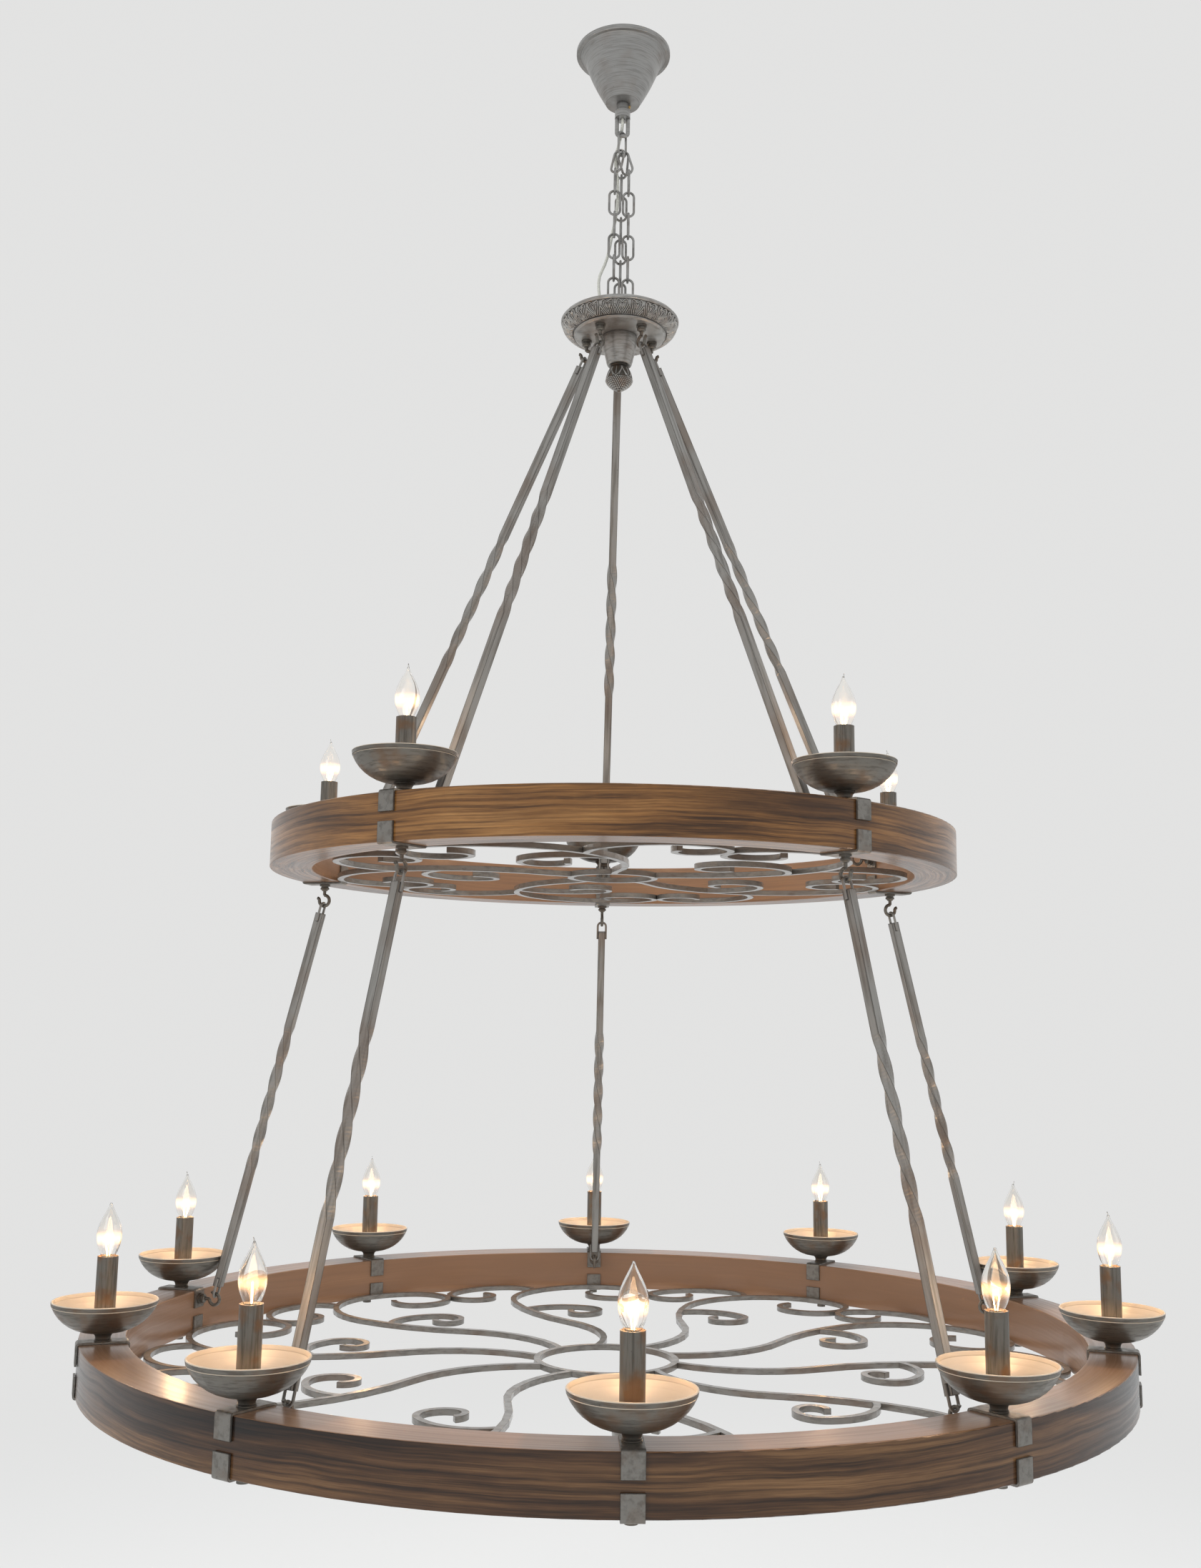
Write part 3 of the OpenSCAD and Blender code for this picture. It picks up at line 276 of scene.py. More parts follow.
join(brushed, (gin.outputs["Vector"], stretch.inputs[0]), (gin.outputs["Strokes"], stretch.inputs[1]),
     (stretch.outputs[0], stroke.inputs["Vector"]), (gin.outputs["Vector"], patch.inputs["Vector"]),
     (gin.outputs["Patch Scale"], patch.inputs["Scale"]), (gin.outputs["Vector"], pits.inputs["Vector"]),
     (stroke.outputs[0], base_shows.inputs["Value"]), (base_shows.outputs[0], base_much.inputs[0]),
     (gin.outputs["Streaks"], base_much.inputs[1]), (gin.outputs["Pewter"], mixes[0].inputs[6]),
     (patch.outputs[0], glaze_patch.inputs["Value"]),
     (glaze_patch.outputs[0], glaze_much.inputs[0]), (gin.outputs["Glaze Amount"], glaze_much.inputs[1]),
     (pits.outputs[0], pit_mask.inputs["Value"]), (pit_mask.outputs[0], pits_wear_and_shade.inputs[0]),
     (gin.outputs["Edge Wear And Shade"], pits_wear_and_shade.inputs[1]), (base_much.outputs[0], mixes[0].inputs["Factor"]),
     (mixes[0].outputs[2], mixes[1].inputs[6]), (glaze_much.outputs[0], mixes[1].inputs["Factor"]),
     (mixes[1].outputs[2], mixes[2].inputs[6]), (pits_wear_and_shade.outputs[0], mixes[2].inputs["Factor"]),
     (mixes[2].outputs[2], gout.inputs["Color"]), (stroke.outputs[0], rough.inputs["Value"]),
     (rough.outputs[0], gout.inputs["Roughness"]), (stroke.outputs[0], height.inputs[0]),
     (pit_mask.outputs[0], height.inputs[1]), (height.outputs[0], gout.inputs["Height"]))

# %% [markdown]
# The thin dark lines along the edges need to know where the edges are. A Bevel node gives the
# direction that the surface would have if its edges were rounded. Where that differs from the real
# direction, there is an edge nearby, and the difference is the mask of the line. It follows every
# corner of a twisted bar or a scroll, and needs no extra faces.

# %% Edge mask
def edge_mask(tree, radius, sharp=0.965, strength=0.9):
    """A mask that rises to strength within radius of an edge, and the rounded direction."""
    rounded = add(tree, "ShaderNodeBevel", samples=6, Radius=radius)
    surface = add(tree, "ShaderNodeNewGeometry")
    agree = add(tree, "ShaderNodeVectorMath", operation="DOT_PRODUCT")
    mask = span(tree, sharp, sharp - 0.10, 0.0, strength)
    join(tree, (rounded.outputs[0], agree.inputs[0]), (surface.outputs["Normal"], agree.inputs[1]),
         (agree.outputs["Value"], mask.inputs["Value"]))
    return mask.outputs[0], rounded.outputs[0]


# %% [markdown]
# One function now builds an iron material, because all of them differ only in numbers: how fine the
# strokes are and which way they run, how much brown glaze there is, and how light the pewter is. The
# surface is mostly metallic, so it mirrors the pale room softly. Some parts turn dark in corners, with
# glaze and painted shade, and an Ambient Occlusion node finds them: it measures how shut in a place is.

# %% Iron finishes
LIGHT_PEWTER = (0.32, 0.318, 0.31, 1)
HUB_PEWTER = (0.40, 0.395, 0.38, 1)
MID_PEWTER = (0.215, 0.205, 0.188, 1)
BAR_PEWTER = (0.290, 0.283, 0.268, 1)
DARK_PEWTER = (0.160, 0.150, 0.132, 1)
RECESS_GLAZE_AND_SHADE = (0.085, 0.078, 0.068, 1)
METAL_SHARE = 0.7


def iron_paint(name, strokes, patch_scale=14.0, streaks=0.6, glaze_and_shade=0.5, edge=0.0012, bump=0.0003, turn=None,
               pewter=MID_PEWTER, coat=0.0, shade_crevice=0.0):
    """Brushed pewter whose streaks are 1 / strokes metres long on each axis. turn is a rotation
    that lays a leaning part's length along Z before the strokes are drawn. Corners about crevice
    wide turn dark, as glaze with painted shade."""
    material = bpy.data.materials.new(name)
    tree = new_tree(material)
    place = add(tree, "ShaderNodeTexCoord").outputs["Object"]
    if turn:
        mapping = add(tree, "ShaderNodeMapping")
        mapping.inputs["Rotation"].default_value = turn
        join(tree, (place, mapping.inputs["Vector"]))
        place = mapping.outputs[0]
    paint = add(tree, "ShaderNodeGroup", node_tree=brushed)
    for label, value in (("Strokes", strokes), ("Patch Scale", patch_scale), ("Streaks", streaks),
                         ("Glaze Amount", glaze_and_shade), ("Pewter", pewter)):
        paint.inputs[label].default_value = value
    mask, rounded = edge_mask(tree, edge)
    if shade_crevice > 0:
        shelter = add(tree, "ShaderNodeAmbientOcclusion", samples=6, Distance=shade_crevice)
        # Painted shade, with glaze: the more shut in a place is, the more it takes the dark edge colour.
        crevice_shade = span(tree, 0.80, 0.25, 0.0, 0.85)
        either = add(tree, "ShaderNodeMath", operation="MAXIMUM")
        join(tree, (shelter.outputs["AO"], crevice_shade.inputs["Value"]), (crevice_shade.outputs[0], either.inputs[0]),
             (mask, either.inputs[1]))
        mask = either.outputs[0]
    relief = add(tree, "ShaderNodeBump", Strength=0.5, Distance=bump)
    shader = add(tree, "ShaderNodeBsdfPrincipled", Metallic=METAL_SHARE, Coat_Weight=coat,
                 Coat_Roughness=0.12)
    join(tree, (place, paint.inputs["Vector"]), (mask, paint.inputs["Edge Wear And Shade"]),
         (paint.outputs["Height"], relief.inputs["Height"]), (rounded, relief.inputs["Normal"]),
         (paint.outputs["Color"], shader.inputs["Base Color"]),
         (paint.outputs["Roughness"], shader.inputs["Roughness"]),
         (relief.outputs[0], shader.inputs["Normal"]),
         (shader.outputs[0], add(tree, "ShaderNodeOutputMaterial").inputs[0]))
    return material


# The canopy and the hub also get painted shade, with glaze, in their corners.
canopy_paint = iron_paint("canopy_paint", (28, 28, 640), 20, 0.3, 0.2, pewter=LIGHT_PEWTER, shade_crevice=0.010)
chain_paint = iron_paint("chain_paint", (160, 160, 60), 40, 0.5, 0.2, edge=0.0004, pewter=LIGHT_PEWTER)
hub_paint = iron_paint("hub_paint", (50, 50, 300), 16, 0.4, 0.4, pewter=HUB_PEWTER, shade_crevice=0.014)
# The finial is painted darkest, as glaze and painted shade in its recesses.
finial_glaze_and_shade = iron_paint("finial_glaze_and_shade", (120, 120, 120), 60, 0.6, 0.6, pewter=RECESS_GLAZE_AND_SHADE)
scroll_paint = iron_paint("scroll_paint", (60, 60, 200), 11, 0.5, 0.45, edge=0.0016, coat=0.7)
strap_paint = iron_paint("strap_paint", (120, 120, 120), 40, 0.45, 0.25, bump=0.0012)
stem_paint = iron_paint("stem_paint", (90, 90, 240), 40, 0.6, 0.4, pewter=DARK_PEWTER)

# %% [markdown]
# A bar is brushed along its length, and all ten lean another way. A Mapping node turns each bar
# upright before the strokes are drawn, so every bar has a paint of its own that differs only in
# that turn. The bar's direction follows from its joint's axis, which is square to the bar.

# %% Bar and sleeve finishes
JOINTS = {joint["name"]: joint for joint in frame["record"]["behaviour"]["joints"]}


def bar_direction(bar):
    """The way a bar runs down and outwards from its upper hook."""
    axis = Vector(JOINTS[bar + "_swing"]["axis"])
    out = Vector((axis.x, axis.y, 0))
    return (out.normalized() * axis.z - Vector((0, 0, out.length))).normalized()


BARS = [f"{tier}_bar_{n}" for tier in ("upper", "lower") for n in range(1, 6)]
bar_paints = {}
for bar in BARS:
    upright = bar_direction(bar).rotation_difference(Vector((0, 0, -1))).to_euler()
    bar_paints[bar] = iron_paint(f"{bar}_paint", (190, 190, 9), 8, 0.5, 0.45, edge=0.0022, turn=upright,
                                 pewter=BAR_PEWTER)
sleeve_paint = iron_paint("sleeve_paint", (330, 330, 18), 34, 0.8, 0.9, edge=0.0005, pewter=DARK_PEWTER)
print("bar finishes:", len(bar_paints))

# %% [markdown]
# A cup is painted outside like the other iron, with strokes that run round it. Inside it is painted a
# pale, less metallic champagne, as painted light of the bulb that shines into it. The surface's own
# direction tells the two apart: the inside looks up and the outside looks down.

# %% Cup finish
# Painted light: the pale inside colour stands for the bulb's light in the cup.
CUP_INSIDE_PAINTED_LIGHT = (0.58, 0.50, 0.40, 1)
cup_paint = iron_paint("cup_paint", (46, 46, 330), 24, 0.65, 0.7, edge=0.0010, pewter=DARK_PEWTER)
tree = cup_paint.node_tree
paint = next(n for n in tree.nodes if n.type == "GROUP")
shader = next(n for n in tree.nodes if n.type == "BSDF_PRINCIPLED")
facing = add(tree, "ShaderNodeSeparateXYZ")
inside = span(tree, 0.04, 0.10)
recoloured = add(tree, "ShaderNodeMix", data_type="RGBA")
recoloured.inputs[7].default_value = CUP_INSIDE_PAINTED_LIGHT
metal = span(tree, 0.0, 1.0, METAL_SHARE, METAL_SHARE / 2, smooth=False)
join(tree, (add(tree, "ShaderNodeNewGeometry").outputs["True Normal"], facing.inputs[0]),
     (facing.outputs[2], inside.inputs["Value"]), (inside.outputs[0], recoloured.inputs["Factor"]),
     (paint.outputs["Color"], recoloured.inputs[6]), (recoloured.outputs[2], shader.inputs["Base Color"]),
     (inside.outputs[0], metal.inputs["Value"]), (metal.outputs[0], shader.inputs["Metallic"]))

# %% [markdown]
# The rings are bent wood, so the grain runs round them. A texture on X, Y and Z would run straight
# through. This group turns a place into its direction from the axis, its distance from the axis and
# its height. Direction changes slowly and the other two fast, so the noise becomes long streaks
# round the ring, and because direction is a point on a circle, the grain meets itself.

# %% Wood grain group
grain, gin, gout = new_group(
    "ring_grain",
    [("Vector", "NodeSocketVector", None), ("Along", "NodeSocketFloat", 7.0),
     ("Across", "NodeSocketFloat", 150.0), ("Bend", "NodeSocketFloat", 0.0)],
    [("Streak", "NodeSocketFloat")])
split = add(grain, "ShaderNodeSeparateXYZ")
flat = add(grain, "ShaderNodeVectorMath", operation="MULTIPLY")
flat.inputs[1].default_value = (1, 1, 0)
length = add(grain, "ShaderNodeVectorMath", operation="LENGTH")
way = add(grain, "ShaderNodeVectorMath", operation="NORMALIZE")
round_it = add(grain, "ShaderNodeVectorMath", operation="SCALE")
wander = add(grain, "ShaderNodeTexNoise", Scale=5.0, Detail=2.0)
lift = add(grain, "ShaderNodeMath", operation="MULTIPLY_ADD")
rise = add(grain, "ShaderNodeMath", operation="MULTIPLY")
out_way = add(grain, "ShaderNodeMath", operation="MULTIPLY")
upright = add(grain, "ShaderNodeCombineXYZ")
spot = add(grain, "ShaderNodeVectorMath", operation="ADD")
streak = add(grain, "ShaderNodeTexNoise", noise_dimensions="4D", Scale=1.0, Detail=5.0, Roughness=0.6)
join(grain, (gin.outputs["Vector"], split.inputs[0]), (gin.outputs["Vector"], flat.inputs[0]),
     (gin.outputs["Vector"], wander.inputs["Vector"]), (flat.outputs[0], length.inputs[0]),
     (flat.outputs[0], way.inputs[0]), (way.outputs[0], round_it.inputs[0]),
     (gin.outputs["Along"], round_it.inputs["Scale"]), (wander.outputs[0], lift.inputs[0]),
     (gin.outputs["Bend"], lift.inputs[1]), (split.outputs[2], lift.inputs[2]),
     (lift.outputs[0], rise.inputs[0]),
     (gin.outputs["Across"], rise.inputs[1]), (length.outputs["Value"], out_way.inputs[0]),
     (gin.outputs["Across"], out_way.inputs[1]), (rise.outputs[0], upright.inputs[2]),
     (round_it.outputs[0], spot.inputs[0]), (upright.outputs[0], spot.inputs[1]),
     (spot.outputs[0], streak.inputs["Vector"]), (out_way.outputs[0], streak.inputs["W"]),
     (streak.outputs[0], gout.inputs["Streak"]))

# %% [markdown]
# The stain is brown with near black streaks, as if rubbed back by hand. Layers of the grain make
# it: broad bands of tone, dark and light streaks, and fine pores that also roughen the surface. A
# clear varnish lies on top, so the rings' undersides mirror the pale floor where they are seen
# almost edge on. The upper ring's stain is more golden and the lower ring's is a dark umber.

# %% Wood finish
def grain_layer(tree, place, along, across, bend):
    """One use of the grain group."""
    layer = add(tree, "ShaderNodeGroup", node_tree=grain)
    layer.inputs["Along"].default_value = along
    layer.inputs["Across"].default_value = across
    layer.inputs["Bend"].default_value = bend
    join(tree, (place, layer.inputs["Vector"]))
    return layer.outputs[0]


def ramp(tree, value, stops):
    """A colour ramp over a value, with (position, colour) stops."""
    node = add(tree, "ShaderNodeValToRGB")
    while len(node.color_ramp.elements) < len(stops):
        node.color_ramp.elements.new(0.5)
    for element, (position, colour) in zip(node.color_ramp.elements, stops):
        element.position, element.color = position, (*colour, 1)
    join(tree, (value, node.inputs[0]))
    return node.outputs[0]


# A lighter wood colour: on top it is painted sheen, and the inner face gets it too.
TOP_SHEEN_AND_INNER_TONE = (0.300, 0.168, 0.098, 1)
DARK_EDGE = (0.018, 0.011, 0.007, 1)
VARNISH = 0.7


def stained_wood(name, stops, inner_r):
    """Varnished wood. stops are the stain's four tones, from its darkest band to its lightest. The
    top is lighter as a painted sheen, and the inner face, at inner_r from the axis, is lighter too."""
    material = bpy.data.materials.new(name)
    tree = new_tree(material)
    place = add(tree, "ShaderNodeTexCoord").outputs["Object"]
    broad = grain_layer(tree, place, 1.5, 24.0, 0.030)
    dark = grain_layer(tree, place, 2.2, 190.0, 0.020)
    light = grain_layer(tree, place, 3.2, 420.0, 0.012)
    pores = grain_layer(tree, place, 14.0, 1300.0, 0.004)
    tone = ramp(tree, broad, list(zip((0.34, 0.45, 0.54, 0.65), stops)))
    shades = [ramp(tree, dark, [(0.36, (0.14, 0.11, 0.10)), (0.49, (0.72, 0.68, 0.64)), (0.60, (1, 1, 1))]),
              ramp(tree, light, [(0.40, (0.55, 0.50, 0.46)), (0.54, (1, 1, 1)), (0.70, (1.25, 1.2, 1.1))]),
              ramp(tree, pores, [(0.36, (0.50, 0.46, 0.42)), (0.54, (1, 1, 1))])]
    colour = tone
    for shade, much in zip(shades, (0.9, 0.7, 0.45)):
        layer = add(tree, "ShaderNodeMix", data_type="RGBA", blend_type="MULTIPLY")
        layer.inputs["Factor"].default_value = much
        join(tree, (colour, layer.inputs[6]), (shade, layer.inputs[7]))
        colour = layer.outputs[2]
    flat = add(tree, "ShaderNodeVectorMath", operation="MULTIPLY")
    flat.inputs[1].default_value = (1, 1, 0)
    from_axis = add(tree, "ShaderNodeVectorMath", operation="LENGTH")
    inner = span(tree, inner_r + 0.004, inner_r + 0.001, 0.0, 0.75)
    facing = add(tree, "ShaderNodeSeparateXYZ")
    # Painted sheen: faces that look up turn lighter.
    on_top = span(tree, 0.5, 0.8, 0.0, 0.65)
    top_and_inner = add(tree, "ShaderNodeMath", operation="MAXIMUM")
    lighter_top_and_inner = add(tree, "ShaderNodeMix", data_type="RGBA")
    lighter_top_and_inner.inputs[7].default_value = TOP_SHEEN_AND_INNER_TONE
    join(tree, (place, flat.inputs[0]), (flat.outputs[0], from_axis.inputs[0]),
         (from_axis.outputs["Value"], inner.inputs["Value"]), (inner.outputs[0], top_and_inner.inputs[0]),
         (add(tree, "ShaderNodeNewGeometry").outputs["True Normal"], facing.inputs[0]),
         (facing.outputs[2], on_top.inputs["Value"]), (on_top.outputs[0], top_and_inner.inputs[1]),
         (top_and_inner.outputs[0], lighter_top_and_inner.inputs["Factor"]), (colour, lighter_top_and_inner.inputs[6]))
    colour = lighter_top_and_inner.outputs[2]
    edge, rounded = edge_mask(tree, 0.0018, strength=0.85)
    recoloured = add(tree, "ShaderNodeMix", data_type="RGBA")
    recoloured.inputs[7].default_value = DARK_EDGE
    sheen = span(tree, 0.3, 0.7, 0.50, 0.30)
    relief = add(tree, "ShaderNodeBump", Strength=0.4, Distance=0.0003)
    shader = add(tree, "ShaderNodeBsdfPrincipled", Specular_IOR_Level=0.1, Coat_Weight=VARNISH,
                 Coat_Roughness=0.2)
    join(tree, (colour, recoloured.inputs[6]), (edge, recoloured.inputs["Factor"]), (dark, sheen.inputs["Value"]),
         (recoloured.outputs[2], shader.inputs["Base Color"]), (sheen.outputs[0], shader.inputs["Roughness"]),
         (pores, relief.inputs["Height"]), (rounded, relief.inputs["Normal"]),
         (relief.outputs[0], shader.inputs["Normal"]),
         (shader.outputs[0], add(tree, "ShaderNodeOutputMaterial").inputs[0]))
    return material


golden_wood = stained_wood("golden_wood", [(0.080, 0.034, 0.010), (0.175, 0.080, 0.023),
                                           (0.275, 0.130, 0.039), (0.360, 0.185, 0.062)], 0.469)
umber_wood = stained_wood("umber_wood", [(0.012, 0.006, 0.004), (0.045, 0.021, 0.010),
                                         (0.110, 0.053, 0.023), (0.210, 0.112, 0.048)], 0.698)

# %% [markdown]
# The small parts behind the canopy and inside the candles are plain: zinc-plated steel, brass,
# glazed porcelain and the clear jacket of the cord. Each still has a fine unevenness of its own.

# %% Plain finishes
def plain_finish(name, colour, metallic, rough_low, rough_high, scale, bump=0.0001, coat=0.0):
    """One colour, with a noise that changes its roughness and shade a little."""
    material = bpy.data.materials.new(name)
    tree = new_tree(material)
    place = add(tree, "ShaderNodeTexCoord")
    uneven = add(tree, "ShaderNodeTexNoise", Scale=scale, Detail=4.0)
    gloss = span(tree, 0.3, 0.7, rough_low, rough_high)
    shade = ramp(tree, uneven.outputs[0], [(0.3, [0.82 * c for c in colour]), (0.7, colour)])
    relief = add(tree, "ShaderNodeBump", Strength=0.4, Distance=bump)
    shader = add(tree, "ShaderNodeBsdfPrincipled", Metallic=metallic, Coat_Weight=coat)
    join(tree, (place.outputs["Object"], uneven.inputs["Vector"]), (uneven.outputs[0], gloss.inputs["Value"]),
         (shade, shader.inputs["Base Color"]), (gloss.outputs[0], shader.inputs["Roughness"]),
         (uneven.outputs[0], relief.inputs["Height"]), (relief.outputs[0], shader.inputs["Normal"]),
         (shader.outputs[0], add(tree, "ShaderNodeOutputMaterial").inputs[0]))
    return material


zinc = plain_finish("zinc", (0.52, 0.53, 0.53), 1.0, 0.30, 0.48, 220)
brass = plain_finish("brass", (0.62, 0.42, 0.17), 1.0, 0.22, 0.36, 260)
porcelain = plain_finish("porcelain", (0.78, 0.76, 0.70), 0.0, 0.12, 0.22, 90, 0.00005, 0.4)
cord_jacket = plain_finish("cord_jacket", (0.66, 0.66, 0.60), 0.15, 0.16, 0.30, 340)

# %% [markdown]
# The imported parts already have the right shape, so they only need their finish. Each part has its
# material slots emptied and gets one new material. A table from finish to part names is easier to
# read and to check than one line for each part.

# %% Dress the CAD parts
FINISH = {
    zinc: ["ceiling_crossbar", "nipple_locknut", "threaded_nipple"],
    brass: ["collar_set_screw"],
    canopy_paint: ["canopy", "canopy_collar", "canopy_loop"],
    chain_paint: ["common_link", "chain_links", "hub_loops"],
    hub_paint: ["hub_cover", "hub_dish", "hub_cone"],
    finial_glaze_and_shade: ["hub_finial"],
    scroll_paint: ["upper_scrollwork", "lower_scrollwork"],
    strap_paint: ["upper_straps", "lower_straps"],
    stem_paint: ["hub_hooks", "upper_ring_hooks", "lower_ring_hooks", "lower_cap_nuts", "upper_stems",
                 "lower_stems"],
    cup_paint: ["upper_cups", "lower_cups"],
    sleeve_paint: ["upper_sleeves", "lower_sleeves"],
    porcelain: ["upper_sockets", "lower_sockets"],
    golden_wood: ["upper_ring"],
    umber_wood: ["lower_ring"],
    cord_jacket: ["canopy_cord", "link_cord", "supply_cord"],
}
FINISH.update({bar_paints[bar]: [bar] for bar in BARS})
for material, names in FINISH.items():
    for name in names:
        slots = NODES[name].data.materials
        slots.clear()
        slots.append(material)
print("dressed CAD parts:", sum(len(names) for names in FINISH.values()))

# %% [markdown]
# ## Lit bulbs
# A candle bulb is a thin blown envelope on a brass screw base, with a glass stem inside that carries
# the filament. The envelope is a profile spun about its axis, with its wall added by Solidify. It
# stands where its CAD solid stands, and replaces it.

# %% Glass and filament finishes
GLOW_STRENGTH = 0.42


def glass_finish():
    """Clear glass that glows warm where its glow attribute is high, round the filament."""
    material = bpy.data.materials.new("bulb_glass")
    tree = new_tree(material)
    place = add(tree, "ShaderNodeTexCoord")
    ripple = add(tree, "ShaderNodeTexNoise", Scale=60.0, Detail=1.0)
    relief = add(tree, "ShaderNodeBump", Strength=0.15, Distance=0.0004)
    shader = add(tree, "ShaderNodeBsdfPrincipled", Base_Color=(1, 0.99, 0.97, 1), Roughness=0.0, IOR=1.45)
    shader.inputs["Transmission Weight"].default_value = 1.0
    shader.inputs["Emission Strength"].default_value = GLOW_STRENGTH
    glow = add(tree, "ShaderNodeAttribute", attribute_name="glow")
    warm = ramp(tree, glow.outputs["Fac"],
                [(0.0, (0, 0, 0)), (0.35, (0.07, 0.026, 0.008)), (1.0, (1.0, 0.60, 0.26))])
    join(tree, (warm, shader.inputs["Emission Color"]),
         (place.outputs["Object"], ripple.inputs["Vector"]), (ripple.outputs[0], relief.inputs["Height"]),
         (relief.outputs[0], shader.inputs["Normal"]),
         (shader.outputs[0], add(tree, "ShaderNodeOutputMaterial").inputs[0]))
    return material


def glow_finish(name, colour, strength):
    """A hot wire: light of one colour that flickers a little along it."""
    material = bpy.data.materials.new(name)
    tree = new_tree(material)
    place = add(tree, "ShaderNodeTexCoord")
    flicker = add(tree, "ShaderNodeTexNoise", Scale=300.0)
    warm = ramp(tree, flicker.outputs[0], [(0.3, [0.9 * c for c in colour]), (0.7, colour)])
    shader = add(tree, "ShaderNodeBsdfPrincipled", Roughness=0.5)
    shader.inputs["Emission Strength"].default_value = strength
    join(tree, (place.outputs["Object"], flicker.inputs["Vector"]), (warm, shader.inputs["Emission Color"]),
         (warm, shader.inputs["Base Color"]),
         (shader.outputs[0], add(tree, "ShaderNodeOutputMaterial").inputs[0]))
    return material


bulb_glass = glass_finish()
filament_glow = glow_finish("filament_glow", (1.0, 0.66, 0.30), 40.0)

# %% [markdown]
# A real bulb is blown, so its outline is one smooth curve with a belly, and the glass is drawn out to
# a bent tip on most of them. Spinning a profile gives that curve. The screw base is spun too, with
# rounded ridges. The filament is a small ring of points, extruded step by step along a zigzag. Each
# bulb has a point lamp that lights its cup. The lamp is a child of the glass, so it moves with it.

# %% Bulb shapes
BASE_LENGTH, NECK_R, BELLY_R, TIP_R = 17 * MM, 6.4 * MM, 16.65 * MM, 1.6 * MM
BELLY_AT, WALL = 0.44, 0.8 * MM
SMOOTH_TIPS = (8, 10, 11)
TIP_HEIGHT = {True: 7 * MM, False: 1.2 * MM}
PROFILE_STEPS, TURN_STEPS, TIP_LEAN = 22, 32, math.radians(18)
GLOW_AT, GLOW_SPREAD = 0.37, 0.12
SPREAD_TURN, FILAMENT_TURN = math.radians(137), math.radians(50)
WIRE_R, LAMP_HEIGHT = 0.6 * MM, 25 * MM


def bulb_radius(share):
    """The envelope's radius at a share of its height."""
    if share < BELLY_AT:
        return NECK_R + (BELLY_R - NECK_R) * math.sin(math.pi / 2 * (share / BELLY_AT) ** 0.8)
    fall = math.cos(math.pi / 2 * (share - BELLY_AT) / (1 - BELLY_AT))
    return TIP_R + (BELLY_R - TIP_R) * max(fall, 0) ** 1.25


def spun(profile, steps=TURN_STEPS):
    """A bmesh of a profile of (radius, height) points spun about Z."""
    bm = bmesh.new()
    points = [bm.verts.new((r, 0, z)) for r, z in profile]
    edges = [bm.edges.new(pair) for pair in zip(points, points[1:])]
    bmesh.ops.spin(bm, geom=points + edges, cent=(0, 0, 0), axis=(0, 0, 1), angle=math.tau, steps=steps,
                   use_merge=True)
    bmesh.ops.remove_doubles(bm, verts=bm.verts, dist=1e-6)
    return bm


def make_envelope(n, place, top, bent):
    """The blown glass of bulb n, with a smooth or a bent tip, and its glow round the filament."""
    height = top - BASE_LENGTH - TIP_HEIGHT[bent]
    profile = [(bulb_radius(i / PROFILE_STEPS), i / PROFILE_STEPS * height) for i in range(PROFILE_STEPS + 1)]
    profile += [(TIP_R * 0.8, height + 0.8 * MM), (0, height + 1.2 * MM)]
    bm = spun(profile)
    if bent:
        lean = Matrix.Translation((0, 0, height + 2.6 * MM)) @ Matrix.Rotation(TIP_LEAN, 4, "Y")
        bmesh.ops.create_cone(bm, cap_ends=True, segments=12, radius1=1.2 * MM, radius2=0.5 * MM,
                              depth=6 * MM, matrix=Matrix.Translation((1.0 * MM, 0, 0)) @ lean)
    spin = Matrix.Rotation(SPREAD_TURN * n, 4, "Z")
    shift = Matrix.Translation(place + Vector((0, 0, BASE_LENGTH)))
    bmesh.ops.transform(bm, verts=bm.verts, matrix=shift @ spin)
    foot = place.z + BASE_LENGTH
    glass = object_from(f"bulb_glass_{n}", bm, bulb_glass)
    glow = glass.data.attributes.new("glow", "FLOAT", "POINT")
    for point, vertex in zip(glow.data, glass.data.vertices):
        point.value = math.exp(-(((vertex.co.z - foot) / height - GLOW_AT) / GLOW_SPREAD) ** 2)
    glass.visible_shadow = False
    wall = glass.modifiers.new("wall", "SOLIDIFY")
    wall.thickness, wall.offset = WALL, -1
    return glass


def make_base(n, place):
    """The screw shell: rounded ridges, and a solder tip."""
    root, crest, pitch = 5.5 * MM, 5.95 * MM, 2.6 * MM
    profile = [(0, 0), (2.2 * MM, 0), (2.6 * MM, 1.2 * MM), (root, 2.6 * MM)]
    z = 2.6 * MM
    while z < BASE_LENGTH - pitch - 1 * MM:
        profile += [(crest, z + pitch / 2), (root, z + pitch)]
        z += pitch
    profile += [(5.9 * MM, z + 1 * MM), (5.9 * MM, BASE_LENGTH), (0, BASE_LENGTH)]
    bm = spun(profile, 24)
    bmesh.ops.translate(bm, verts=bm.verts, vec=place)
    return object_from(f"bulb_base_{n}", bm, brass)


